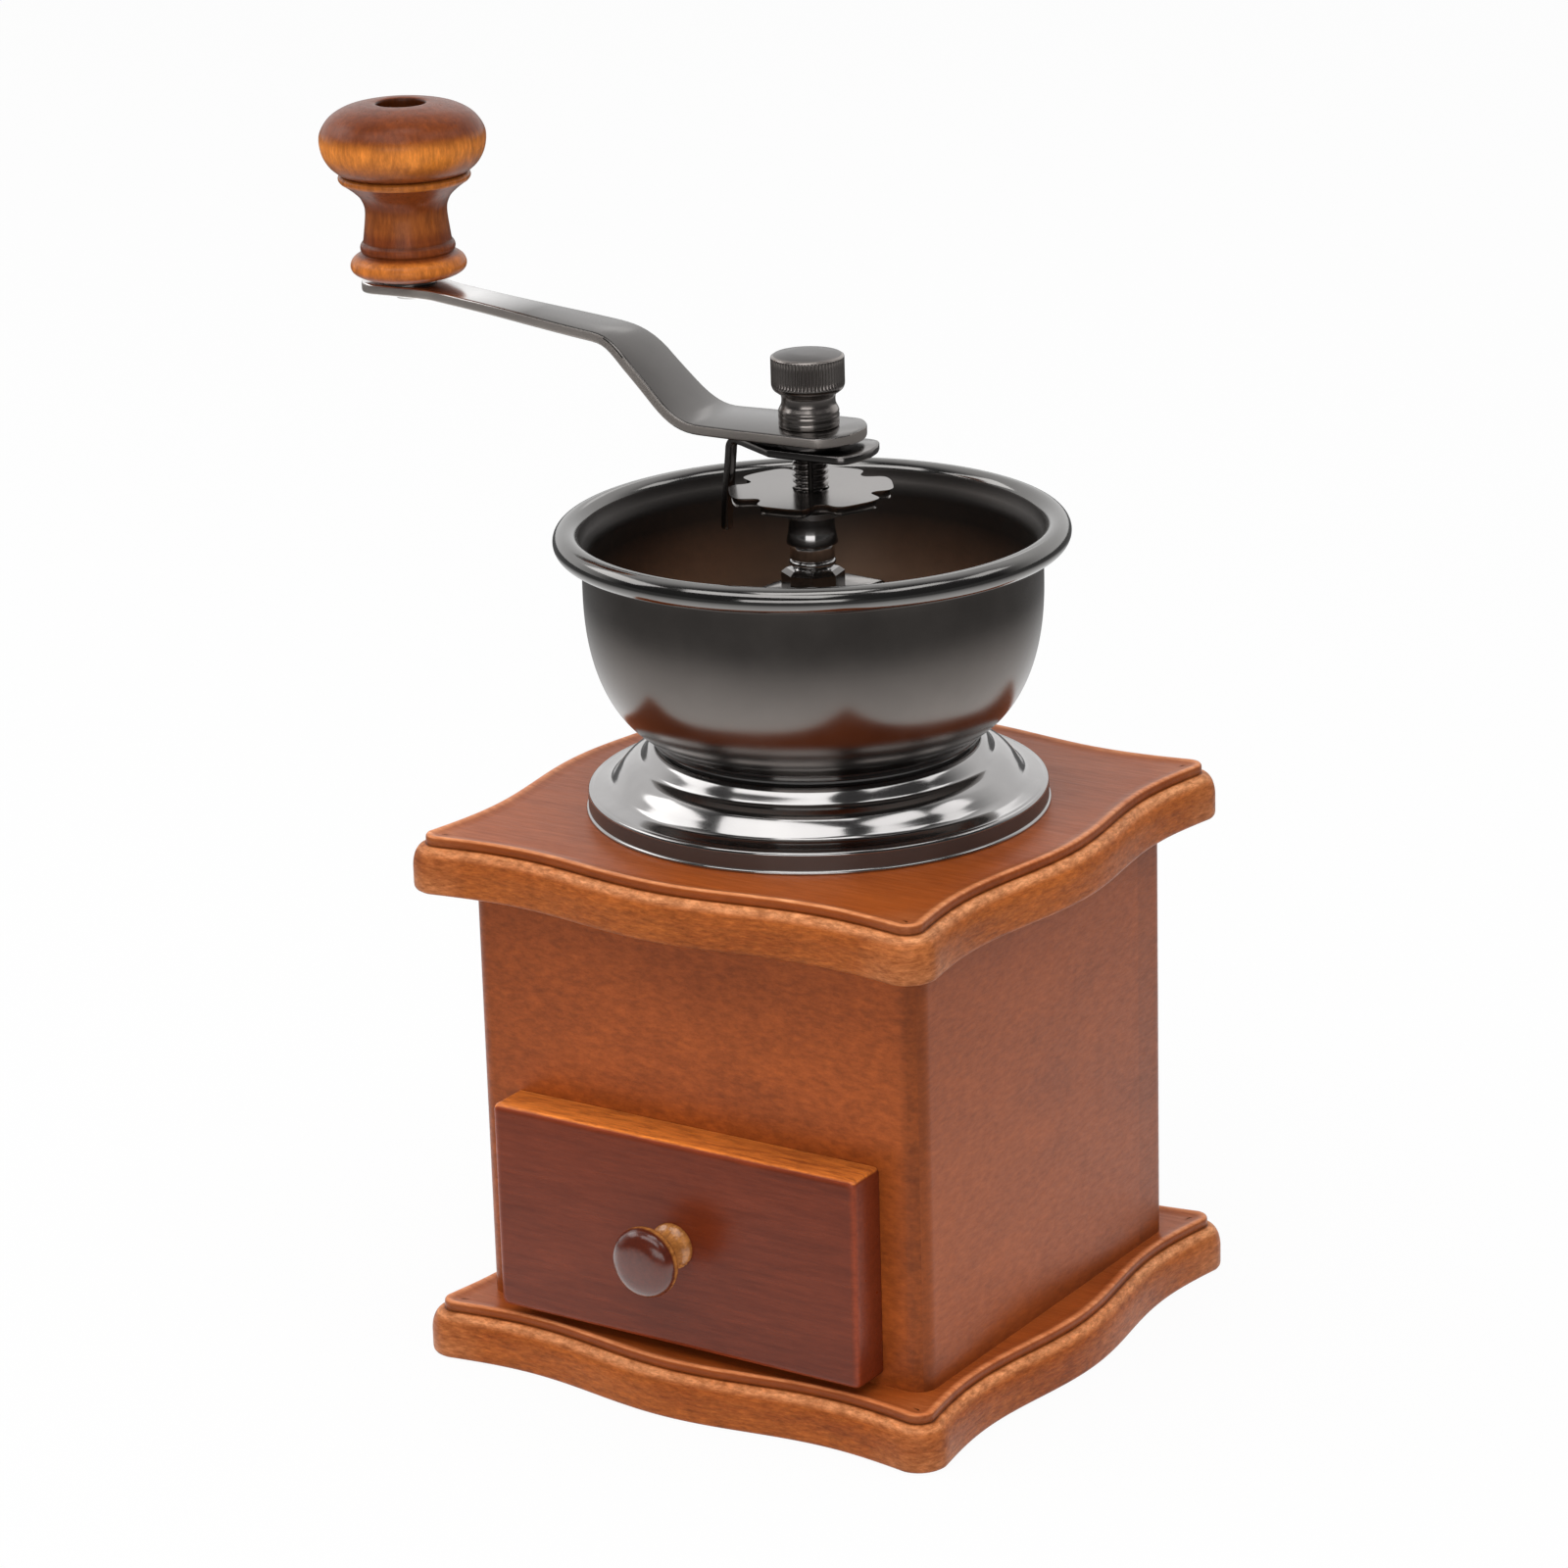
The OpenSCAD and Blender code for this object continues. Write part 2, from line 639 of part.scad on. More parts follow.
module ring_burr() {
    low = housing_low + fit;
    high = housing_low + ring_h;
    lead = (throat_r - 0.2 - waist_r) / (high - waist_z);
    color(iron) difference() {
        rotate_extrude() polygon([
            [ring_r, low], [ring_r, high], [throat_r - 0.2, high], [waist_r, waist_z],
            [cone_r + grind_gap, cone_z], [cone_r + grind_gap, low]]);
        for (i = [0 : ring_teeth - 1]) rotate(360 * i / ring_teeth)
            translate([waist_r - 0.1, 0, waist_z]) rotate([14, atan(lead), 0]) mirror([1, 0, 0])
                intersection() {
                    groove(0.9, 40);
                    translate([-4, -4, 1.2]) cube([8, 8, 30]);
                }
        for (i = [0 : 2 * ring_teeth - 1]) rotate(180 * i / ring_teeth)
            translate([waist_r - 0.1, 0, waist_z]) rotate([10, -atan(cone_slope), 0]) mirror([1, 0, 0])
                intersection() {
                    groove(0.45, 40);
                    translate([-4, -4, -12]) cube([8, 8, 11.5]);
                }
    }
}

module cone_burr() {
    lean = -atan(cone_slope);
    color(iron) difference() {
        rotate_extrude() polygon([
            [0, cone_z], [cone_r - 0.3, cone_z], [cone_r, cone_z + 0.6], [cone_top_r, cone_z + cone_h - 1],
            [cone_top_r - 1, cone_z + cone_h], [0, cone_z + cone_h]]);
        translate([0, 0, cone_z - 1]) cylinder(r = spindle_r + 0.02, h = cone_h + 2);
        for (i = [0 : cone_teeth - 1]) rotate(360 * i / cone_teeth)
            translate([cone_r - cone_slope * cone_h / 2, 0, cone_z + cone_h / 2]) rotate([-16, lean, 0])
                intersection() {
                    groove(1.5, 34);
                    translate([-4, -8, -cone_h / 2 + fine_h]) cube([8, 16, 2 * cone_h]);
                }
        for (i = [0 : 3 * cone_teeth - 1]) rotate(120 * i / cone_teeth)
            translate([cone_r - cone_slope * cone_h / 2, 0, cone_z + cone_h / 2]) rotate([-10, lean, 0])
                groove_fine();
        translate([-pin_r - fit, -pin_l / 2 - 0.3, pin_z - pin_r - fit])
            cube([2 * pin_r + 2 * fit, pin_l + 0.6, 8]);
    }
}

module groove_fine() {
    intersection() {
        groove(0.4, 36);
        translate([-4, -8, -cone_h]) cube([8, 16, cone_h / 2 + fine_h]);
    }
}

module drive_pin() {
    color(steel) translate([0, 0, pin_z]) rotate([90, 0, 0])
        cylinder(r = pin_r, h = pin_l, center = true, $fn = 40);
}

module burr_clip() {
    color(steel) translate([0, 0, clip_z]) linear_extrude(clip_t) difference() {
        circle(r = clip_r);
        circle(r = groove_floor_r + fit);
        translate([0, -clip_mouth / 2]) square([clip_r + 1, clip_mouth]);
    }
}

module spring_seat() {
    color(steel) translate([0, 0, seat_z]) tube(seat_r, spindle_r + bearing_gap, seat_t);
}

// One unbroken wire, wound from the seat up to the bridge
module burr_spring() {
    steps = 8;
    sides = 6;
    wire = [for (i = [0 : spring_turns * steps]) let (a = 360 * i / steps, p = spring_pitch * i / steps)
        [for (k = [0 : sides - 1]) let (b = -360 * k / sides, r = spring_r + spring_wire_r * cos(b))
            [r * cos(a), r * sin(a), spring_z0 + spring_wire_r + p + spring_wire_r * sin(b)]]];
    color(steel) skin_rings(wire);
}

// Bottom bearing: a strap across the housing with a boss for the spindle's journal
module bottom_bearing() {
    color(iron) translate([0, 0, housing_low - skin]) difference() {
        union() {
            translate([0, 0, -strap_t]) intersection() {
                translate([-body_r, -strap_w / 2, 0]) cube([2 * body_r, strap_w, strap_t]);
                cylinder(r = body_r, h = strap_t);
            }
            translate([0, 0, -boss_h]) cylinder(r = boss_r, h = boss_h);
        }
        translate([0, 0, -boss_h - 1]) cylinder(r = journal_r + bearing_gap, h = boss_h + 2);
        translate([0, 0, -strap_t - 1]) around(strap_screw_r, [0, 180])
            cylinder(r = bearing_screw_r + 0.15, h = strap_t + 3, $fn = 40);
    }
}

module bearing_screws() {
    color(steel) translate([0, 0, housing_low - strap_t - 2 * skin]) around(strap_screw_r, [0, 180])
        mirror([0, 0, 1])
            pan_screw(bearing_screw_head_r, bearing_screw_head_h, bearing_screw_r, bearing_screw_l);
}

module housing_screws() {
    color(steel) translate([0, 0, flange_low - skin]) around(flange_screw_r, housing_screw_turns)
        mirror([0, 0, 1])
            pan_screw(housing_screw_head_r, housing_screw_head_h, housing_screw_r, housing_screw_l);
}

// Spindle: bottom journal, clip groove, plain shaft, and a threaded end with two flats
module spindle() {
    pin_hole = pin_r + 0.02;
    color(steel) difference() {
        union() {
            translate([0, 0, housing_low - boss_h + 0.5])
                cylinder(r = journal_r, h = shoulder_z - housing_low + boss_h);
            translate([0, 0, shoulder_z]) cylinder(r = spindle_r, h = spindle_top - shoulder_z);
        }
        for (turn = [0, 180]) rotate(crank_angle + turn) translate([flats_half, -spindle_r - 1, flats_z])
            cube([spindle_r, 2 * spindle_r + 2, spindle_top]);
        translate([0, 0, clip_z - fit]) tube(spindle_r + 1, groove_floor_r, clip_t + 2 * fit);
        translate([0, 0, pin_z]) rotate([90, 0, 0]) cylinder(r = pin_hole, h = 10, center = true, $fn = 40);
    }
}

// Washer keyed to the spindle's flats, which turns with it on top of the sleeve
module thrust_washer() {
    color(steel) translate([0, 0, washer_z]) difference() {
        cylinder(r = washer_r, h = washer_t);
        translate([0, 0, -1]) rotate(crank_angle) flatted_bar(spindle_r + fit, flats_half + fit, washer_t + 2);
    }
}

// Six flat-topped teeth with a scooped notch before each
module adjusting_wheel() {
    tooth_half = 14.5;
    scoop_r = 3.9;
    scoop_mid = wheel_notch_r + scoop_r;
    color(gunmetal) difference() {
        union() {
            translate([0, 0, wheel_z]) linear_extrude(wheel_t) difference() {
                polygon([for (i = [0 : 5]) for (s = [-1, 1]) let (a = wheel_angle + 60 * i + s * tooth_half)
                    wheel_r * [cos(a), sin(a)]]);
                for (i = [0 : 5]) rotate(wheel_angle + 60 * i + 30) translate([scoop_mid, 0])
                    circle(r = scoop_r, $fn = 48);
            }
            translate([0, 0, wheel_hub_z]) cylinder(r = wheel_hub_r, h = wheel_hub_h + 0.5);
        }
        translate([0, 0, wheel_hub_z - 1]) cylinder(r = spindle_r + bearing_gap, h = wheel_t + wheel_hub_h + 3);
    }
}

// Crank

module keyed_hole(h) {
    translate([0, 0, -1]) flatted_bar(spindle_r + fit, flats_half + fit, h);
}

// Strip under the crank: rounded behind the spindle, tapered to a finger bent down past the wheel
module lock_outline() {
    half = lock_w / 2;
    taper_x = 0.62 * finger_reach;
    bend_x = finger_reach - finger_bend;
    intersection() {
        circle(r = lock_reach);
        translate([-lock_reach, -half]) square([lock_reach + 5, lock_w]);
    }
    polygon([[4, -half], [taper_x - 2.5, -half], [taper_x, -0.8 * half], [bend_x, -finger_w / 2],
        [bend_x, finger_w / 2], [taper_x, 0.8 * half], [taper_x - 2.5, half], [4, half]]);
}

// Side view of the finger and its bend
module finger_side() {
    tip_r = lock_t / 2;
    translate([finger_reach, tip_r - finger_l]) square([lock_t, finger_l - tip_r - finger_bend]);
    translate([finger_reach + tip_r, tip_r - finger_l]) circle(r = tip_r, $fn = 32);
    translate([finger_reach - finger_bend, -finger_bend]) intersection() {
        difference() {
            circle(r = finger_bend + lock_t);
            circle(r = finger_bend);
        }
        square(finger_bend + lock_t);
    }
}

module lock_plate() {
    color(gunmetal) translate([0, 0, lock_z]) rotate(crank_angle) difference() {
        union() {
            linear_extrude(lock_t) lock_outline();
            cylinder(r = lock_boss_r, h = lock_t + lock_boss_h);
            rotate([90, 0, 0]) translate([0, 0, -finger_w / 2]) linear_extrude(finger_w) finger_side();
        }
        keyed_hole(lock_t + lock_boss_h + 2);
    }
}

// Height of the crank's underside along its length: one S-bend, then a rise to the flat end
function ease(t) = (1 - cos(180 * max(0, min(1, t)))) / 2;
function crank_height(x) =
    bend_rise * ease((x - bend_start) / (bend_end - bend_start))
    + (crank_rise - bend_rise) * pow(max(0, min(1, (x - bend_end) / (eye_start - bend_end))), 1.5);

module crank_side() {
    xs = concat([-hub_r - 1, bend_start], [for (i = [1 : 16]) bend_start + (bend_end - bend_start) * i / 16],
        [for (i = [1 : 12]) bend_end + (eye_start - bend_end) * i / 12],
        [eye_start + 0.2, crank_l + eye_reach + eye_r + 1]);
    slope = [for (x = xs) atan((crank_height(x + 0.1) - crank_height(x - 0.1)) / 0.2)];
    low = [for (i = [0 : len(xs) - 1]) [xs[i], crank_height(xs[i])]];
    high = [for (i = [0 : len(xs) - 1]) low[i] + crank_t * [-sin(slope[i]), cos(slope[i])]];
    polygon(concat(low, [for (i = [len(xs) - 1 : -1 : 0]) high[i]]));
}

module crank_plan() {
    half = [[0, hub_r - 0.6], [hub_r - 1, arm_hub_w / 2], [bend_start + 2, arm_hub_w / 2 - 0.4],
        [(bend_start + bend_end) / 2 + 2, 0.26 * (arm_hub_w + arm_mid_w)], [bend_end, arm_mid_w / 2],
        [eye_start - 12, arm_eye_w / 2], [eye_start - 5, arm_eye_w / 2], [eye_start, eye_r - 0.15],
        [crank_l + eye_reach, eye_r]];
    last = len(half) - 1;
    circle(r = hub_r);
    translate([crank_l + eye_reach, 0]) circle(r = eye_r);
    polygon(concat([for (p = half) [p.x, -p.y]], [for (i = [last : -1 : 0]) half[i]]));
}

module crank_arm() {
    slab_w = 2 * hub_r + 5.4;
    color(gunmetal) translate([0, 0, hub_z]) rotate(crank_angle) difference() {
        intersection() {
            rotate([90, 0, 0]) translate([0, 0, -slab_w / 2]) linear_extrude(slab_w) crank_side();
            translate([0, 0, -1]) linear_extrude(crank_rise + crank_t + 6) crank_plan();
        }
        keyed_hole(6);
        translate([crank_l, 0, crank_rise - 1]) cylinder(r = rivet_r + 0.02, h = crank_t + 4, $fn = 48);
    }
}

// Domed nut: flared foot, waist, broad grip band and a low dome
module thumb_nut() {
    dome_z = nut_h - dome_h;
    waist_low = 1.7;
    waist_h = grip_z - 2.2;
    color(gunmetal) translate([0, 0, nut_z]) difference() {
        rotate_extrude() polygon(concat(
            [[0, 0], [nut_foot_r - 0.15, 0], [nut_foot_r, 0.3], [nut_foot_r, 1.4]],
            [for (a = [0 : 20 : 160])
                [nut_waist_r + (nut_foot_r - nut_waist_r) * pow(cos(a), 2), waist_low + waist_h * a / 160]],
            [[grip_r - 0.5, grip_z], [grip_r, grip_z + 0.4], [grip_r, dome_z - 0.3]],
            [for (a = [15 : 15 : 75]) [(grip_r - 0.2) * cos(a), dome_z + dome_h * sin(a)]],
            [[0, nut_h]]));
        translate([0, 0, -1]) cylinder(r = spindle_r + bearing_gap, h = spindle_top - nut_z + 1.6);
    }
}

// Screw the knob turns on: rivet end under the eye, plain shank, head in the recess
module knob_screw() {
    head_z = knob_z + knob_h - recess_d + 0.2;
    head_edge = 0.6 * knob_screw_h;
    at_eye = eye_z - rivet_head_h;
    color(steel) rotate(crank_angle) translate([crank_l, 0, 0]) difference() {
        union() {
            translate([0, 0, at_eye])
                cylinder(r1 = 0.75 * rivet_head_r, r2 = rivet_head_r, h = rivet_head_h - skin, $fn = 48);
            translate([0, 0, at_eye]) cylinder(r = rivet_r, h = head_z - at_eye + 0.5, $fn = 48);
            translate([0, 0, head_z]) cylinder(r = knob_screw_r, h = head_edge, $fn = 48);
            translate([0, 0, head_z + head_edge])
                cylinder(r1 = knob_screw_r, r2 = 0.76 * knob_screw_r, h = knob_screw_h - head_edge, $fn = 48);
        }
        translate([-knob_screw_r - 1, -0.4, head_z + head_edge - 0.1])
            cube([2 * knob_screw_r + 2, 0.8, knob_screw_h]);
    }
}

module knob_washer() {
    color(steel) rotate(crank_angle) translate([crank_l, 0, eye_z + crank_t + skin])
        tube(knob_washer_r, rivet_r + 0.02, knob_washer_t);
}

// Turned knob: foot bead, hollow waist, collar ring and a flattened bulb
knob_foot_r = 0.49 * knob_r;
knob_bead_r = 0.7 * knob_r;
knob_waist_r = 0.486 * knob_r;
knob_collar_r = 0.79 * knob_r;
knob_bead_z = 0.069 * knob_h;
knob_bead_h = 0.055 * knob_h;
knob_fillet_z = 0.175 * knob_h;
knob_waist_z = 0.358 * knob_h;
knob_collar_z = 0.55 * knob_h;
knob_collar_h = 0.037 * knob_h;
knob_bulb_z = 0.785 * knob_h;
module crank_knob() {
    fillet_r = 0.565 * knob_r;
    neck_low = knob_fillet_z + 0.4;
    collar_low = knob_collar_z - knob_collar_h;
    bulb_low = knob_bulb_z - knob_collar_z - knob_collar_h - 0.5;
    line = concat(
        [[knob_foot_r, 0]],
        [for (a = [-80 : 16 : 80])
            [knob_foot_r + (knob_bead_r - knob_foot_r) * cos(a), knob_bead_z + knob_bead_h * sin(a)]],
        [[fillet_r - 0.2, knob_fillet_z - 0.9], [fillet_r, knob_fillet_z - 0.2]],
        [[fillet_r, knob_fillet_z + 0.3]],
        [for (t = [0.1 : 0.15 : 1]) [knob_waist_r + (fillet_r - knob_waist_r) * pow(1 - t, 1.6),
            neck_low + (knob_waist_z - neck_low) * t]],
        [for (t = [0.15 : 0.15 : 0.9]) [knob_waist_r + (0.72 * knob_r - knob_waist_r) * pow(t, 1.8),
            knob_waist_z + (collar_low - knob_waist_z) * t]],
        [for (a = [-75 : 25 : 75])
            [knob_collar_r - 0.8 + 0.8 * cos(a), knob_collar_z + knob_collar_h * sin(a)]],
        [[0.74 * knob_r, knob_collar_z + knob_collar_h + 0.2]],
        [for (a = [-70 : 10 : 0]) [0.6 * knob_r + 0.4 * knob_r * cos(a), knob_bulb_z + bulb_low * sin(a)]],
        [for (a = [10 : 10 : 80]) [0.42 * knob_r + 0.58 * knob_r * cos(a),
            knob_bulb_z + (knob_h - knob_bulb_z) * pow(sin(a), 1.15)]],
        [[0.4 * knob_r, knob_h]]);
    color(wood) rotate(crank_angle) translate([crank_l, 0, knob_z]) difference() {
        rotate_extrude() polygon(concat([[0, 0]], line, [[0, knob_h]]));
        translate([0, 0, -1]) cylinder(r = rivet_r + bearing_gap, h = knob_h + 2, $fn = 64);
        translate([0, 0, knob_h - recess_d]) cylinder(r = knob_recess_r, h = recess_d + 1, $fn = 64);
    }
}

// Drawer

module drawer_face() {
    r = 1;
    color(dark_wood) difference() {
        translate([0, face_back, face_z + face_h / 2]) rotate([90, 0, 0]) {
            linear_extrude(face_t - r) square([face_w, face_h], center = true);
            translate([0, 0, face_t - r - skin]) linear_extrude(r + skin)
                square([face_w - 1, face_h - 1], center = true);
        }
        translate([0, face_back - face_t - 1, pull_z]) rotate([-90, 0, 0])
            cylinder(r = pull_bore_r + fit, h = face_t + 2);
    }
}

module drawer_side(s) {
    translate([s > 0 ? box_w / 2 - drawer_wall : -box_w / 2, face_back + skin, box_z]) difference() {
        cube([drawer_wall, drawer_d, box_h]);
        translate([s > 0 ? -1 : drawer_wall - floor_groove, -1, floor_lift])
            cube([floor_groove + 1, drawer_d + 2, drawer_floor + 0.1]);
    }
}

module drawer_right() {
    color(wood) drawer_side(1);
}

module drawer_left() {
    color(wood) drawer_side(-1);
}

module drawer_back() {
    inside = box_w - 2 * drawer_wall;
    low = floor_lift + drawer_floor + 0.1;
    color(wood) translate([-inside / 2, box_back - drawer_wall, box_z + low])
        cube([inside, drawer_wall, box_h - low]);
}

module drawer_bottom() {
    w = box_w - 2 * drawer_wall + 2 * floor_groove - 0.2;
    color(wood) translate([-w / 2, face_back + 0.1, box_z + floor_lift + 0.05])
        cube([w, drawer_d - 0.2, drawer_floor]);
}

// Turned drawer knob: foot, waist and a domed head
module drawer_knob() {
    r = pull_d / 2;
    neck_r = 0.45 * r;
    head_h = 0.3 * pull_l;
    color(dark_wood) translate([0, face_front - skin, pull_z]) rotate([90, 0, 0]) difference() {
        rotate_extrude() polygon(concat(
            [[0, 0], [0.66 * r, 0], [0.66 * r, 1], [neck_r + 0.2, 2], [neck_r, 3.4], [0.6 * r, 4.6]],
            [for (a = [-60 : 15 : 75]) [neck_r + (r - neck_r) * cos(a), pull_l - head_h + head_h * sin(a)]],
            [[0, pull_l]]));
        translate([0, 0, -1]) cylinder(r = pull_bore_r + 0.02, h = pull_screw_grip + 1.6, $fn = 48);
    }
}

// Wood screw from inside the drawer into the knob
module drawer_screw() {
    color(steel) translate([0, face_back + skin, pull_z]) rotate([-90, 0, 0])
        pan_screw(housing_screw_head_r, housing_screw_head_h, pull_bore_r, face_t + pull_screw_grip);
}

base_board();
top_board();
front_panel();
back_panel();
left_panel();
right_panel();
left_runner();
right_runner();
base_screws();
top_dowels();
hopper_stand();
hopper_bowl();
bearing_bridge();
bearing_sleeve();
burr_housing();
ring_burr();
bottom_bearing();
bridge_screws();
bowl_screws();
housing_screws();
bearing_screws();
thrust_washer();
adjusting_wheel();
spindle();
cone_burr();
drive_pin();
burr_clip();
spring_seat();
burr_spring();
lock_plate();
crank_arm();
knob_screw();
knob_washer();
thumb_nut();
crank_knob();
drawer_face();
drawer_left();
drawer_right();
drawer_back();
drawer_bottom();
drawer_knob();
drawer_screw();
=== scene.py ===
"""Looks of the hand coffee grinder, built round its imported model."""

import math

import bmesh
import bpy
from mathutils import Matrix, Vector

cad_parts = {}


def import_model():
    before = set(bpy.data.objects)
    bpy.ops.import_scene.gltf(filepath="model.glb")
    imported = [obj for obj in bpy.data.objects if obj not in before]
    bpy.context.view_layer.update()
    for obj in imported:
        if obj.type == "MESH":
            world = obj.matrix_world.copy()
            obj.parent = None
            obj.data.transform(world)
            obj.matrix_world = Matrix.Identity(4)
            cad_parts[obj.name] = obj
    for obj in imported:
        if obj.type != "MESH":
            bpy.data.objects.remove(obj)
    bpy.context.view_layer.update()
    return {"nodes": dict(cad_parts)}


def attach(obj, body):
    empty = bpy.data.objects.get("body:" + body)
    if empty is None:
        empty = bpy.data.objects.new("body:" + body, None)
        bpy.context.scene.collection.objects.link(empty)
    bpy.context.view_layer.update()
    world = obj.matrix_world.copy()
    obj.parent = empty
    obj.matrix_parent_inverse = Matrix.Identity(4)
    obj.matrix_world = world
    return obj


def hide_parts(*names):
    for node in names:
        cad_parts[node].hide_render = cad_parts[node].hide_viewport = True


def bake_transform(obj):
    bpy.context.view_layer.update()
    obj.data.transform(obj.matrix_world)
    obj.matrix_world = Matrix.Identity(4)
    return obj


MM = 0.001

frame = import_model()
nodes = frame["nodes"]
scene = bpy.context.scene


# Sizes in millimetres, as in the CAD source
BOARD_T = 9.0
BASE_W = 101.2
TOP_W = 100.0
TOP_Z = 83.0
DECK_Z = 92.0
BOARD_CORNER_R = 5.2
BOARD_WAVE = 1.6
BOARD_LEDGE = 2.1
STAND_TOP = 104.0
CRANK_ANGLE = 184.0
CRANK_L = 76.2
HUB_TOP = 156.3
CRANK_T = 1.8
KNOB_Z = 174.65
FACE_BACK = -40.1
PULL_Z = 29.1


# Node helpers

class Tree:
    """A material's node tree with short calls for the nodes that are used here."""

    def __init__(self, name):
        self.material = bpy.data.materials.new(name)
        self.material.use_nodes = True
        self.tree = self.material.node_tree
        self.shader = self.tree.nodes["Principled BSDF"]
        self.object_coords = self.add("ShaderNodeTexCoord").outputs["Object"]

    def add(self, kind, **settings):
        node = self.tree.nodes.new(kind)
        for key, value in settings.items():
            setattr(node, key, value)
        return node

    def link(self, source, target):
        self.tree.links.new(source, target)

    def put(self, socket, value):
        if isinstance(value, bpy.types.NodeSocket):
            self.link(value, socket)
        else:
            socket.default_value = value

    def scaled(self, scale, turn=0.0):
        node = self.add("ShaderNodeMapping")
        node.inputs["Scale"].default_value = scale
        node.inputs["Rotation"].default_value = (0, 0, turn)
        self.link(self.object_coords, node.inputs["Vector"])
        return node.outputs["Vector"]

    def noise(self, vector, scale, detail=4.0, rough=0.55, distortion=0.0):
        node = self.add("ShaderNodeTexNoise")
        self.link(vector, node.inputs["Vector"])
        node.inputs["Scale"].default_value = scale
        node.inputs["Detail"].default_value = detail
        node.inputs["Roughness"].default_value = rough
        node.inputs["Distortion"].default_value = distortion
        return node.outputs["Fac"]

    def math(self, kind, a, b=0.0, clamp=False):
        node = self.add("ShaderNodeMath", operation=kind, use_clamp=clamp)
        self.put(node.inputs[0], a)
        self.put(node.inputs[1], b)
        return node.outputs[0]

    def spread(self, value, low, high, to_low, to_high):
        node = self.add("ShaderNodeMapRange")
        self.put(node.inputs["Value"], value)
        for key, number in (("From Min", low), ("From Max", high), ("To Min", to_low), ("To Max", to_high)):
            node.inputs[key].default_value = number
        return node.outputs["Result"]

    def mix(self, factor, a, b, kind="MIX"):
        node = self.add("ShaderNodeMix", data_type="RGBA", blend_type=kind)
        self.put(node.inputs["Factor"], factor)
        self.put(node.inputs["A"], (*a, 1) if isinstance(a, tuple) else a)
        self.put(node.inputs["B"], (*b, 1) if isinstance(b, tuple) else b)
        return node.outputs["Result"]

    def bump(self, height, strength, distance, under=None):
        node = self.add("ShaderNodeBump")
        self.put(node.inputs["Height"], height)
        node.inputs["Strength"].default_value = strength
        node.inputs["Distance"].default_value = distance
        if under is not None:
            self.link(under, node.inputs["Normal"])
        return node.outputs["Normal"]


def linear(code):
    """Linear colour from an sRGB hex code."""
    parts = [int(code[i:i + 2], 16) / 255 for i in (0, 2, 4)]
    return tuple(c / 12.92 if c <= 0.04045 else ((c + 0.055) / 1.055) ** 2.4 for c in parts)


GRAIN = {"x": (1, 14, 14), "y": (14, 1, 14), "mild_x": (5, 14, 14), "mild_y": (14, 4, 14), "z": (14, 14, 1), "level": (5, 5, 26)}


def tint(t, colour, shade):
    """Colour times a grey value."""
    grey = t.add("ShaderNodeCombineXYZ")
    for socket in grey.inputs:
        t.link(shade, socket)
    return t.mix(1.0, colour, grey.outputs[0], "MULTIPLY")


def wood(name, light, dark, axis, rough=0.36, fleck=0.5, spec=0.3, coat=0.0, pale_and_lit=None, shade_bands=None, relief=0.16,
         even=0.0):
    """Stained wood with its grain along one axis. A per-point attribute of painted light and shade multiplies it where
    a piece has one, a second attribute mixes in paler wood, partly real wear and two-tone wood and partly painted sheen
    and highlight, and bands of painted shade darken it beyond a place on an axis."""
    t = Tree(name)
    along = GRAIN[axis]
    fibre = t.noise(t.scaled(along), 95, 7, 0.72, 0.25)
    band = t.noise(t.scaled(tuple(0.3 + 0.1 * g for g in along)), 34, 4, 0.6, 0.6)
    speck = t.noise(t.scaled(tuple(0.45 + 0.12 * g for g in along)), 420, 3, 0.75)
    blotch = t.noise(t.scaled((1, 1, 1)), 30, 4, 0.6)
    figure = t.math("ADD", t.math("MULTIPLY", fibre, 0.55), t.math("MULTIPLY", band, 0.45))
    colour = t.mix(t.spread(figure, 0.38, 0.62, 0, 1), light, dark)
    if pale_and_lit is not None:
        place = t.add("ShaderNodeAttribute", attribute_name="pale_and_lit").outputs["Fac"]
        uneven = t.math("MULTIPLY", place, t.spread(speck, 0.3, 0.7, 0.55 + 0.4 * even, 1.35 - 0.2 * even))
        place = t.math("MULTIPLY", uneven, 1.0, clamp=True)
        colour = t.mix(place, colour, t.mix(t.spread(figure, 0.38, 0.62, 0, 0.7 - 0.5 * even), pale_and_lit, light))
    shade = t.spread(blotch, 0.3, 0.7, 0.92, 1.08)
    shade = t.math("MULTIPLY", shade, t.spread(speck, 0.36, 0.66, 1.0 - 0.22 * fleck, 1.0 + 0.22 * fleck))
    # Bands of painted shade along corners, under the top board and low on the sides.
    if shade_bands is not None:
        parts = t.add("ShaderNodeSeparateXYZ")
        t.link(t.object_coords, parts.inputs[0])
        for socket, start, end, depth in shade_bands:
            painted_shade = t.spread(parts.outputs[socket], start * MM, end * MM, 1.0, depth)
            shade = t.math("MULTIPLY", shade, painted_shade)
    else:
        # Painted light and shade carried by the mesh: lighter where light falls, darker in grooves, holes and recesses.
        painted_shading = t.add("ShaderNodeAttribute", attribute_name="painted_shading").outputs["Fac"]
        whole = t.math("MAXIMUM", painted_shading, t.math("LESS_THAN", painted_shading, 0.001))
        shade = t.math("MULTIPLY", shade, whole)
    t.link(tint(t, colour, shade), t.shader.inputs["Base Color"])
    t.link(t.spread(fibre, 0.3, 0.7, rough - 0.05, rough + 0.08), t.shader.inputs["Roughness"])
    t.shader.inputs["Specular IOR Level"].default_value = spec
    t.shader.inputs["Coat Weight"].default_value = coat
    t.shader.inputs["Coat Roughness"].default_value = 0.15
    first = t.bump(fibre, relief, 0.0002)
    t.link(t.bump(speck, relief, 0.0001, first), t.shader.inputs["Normal"])
    return t.material


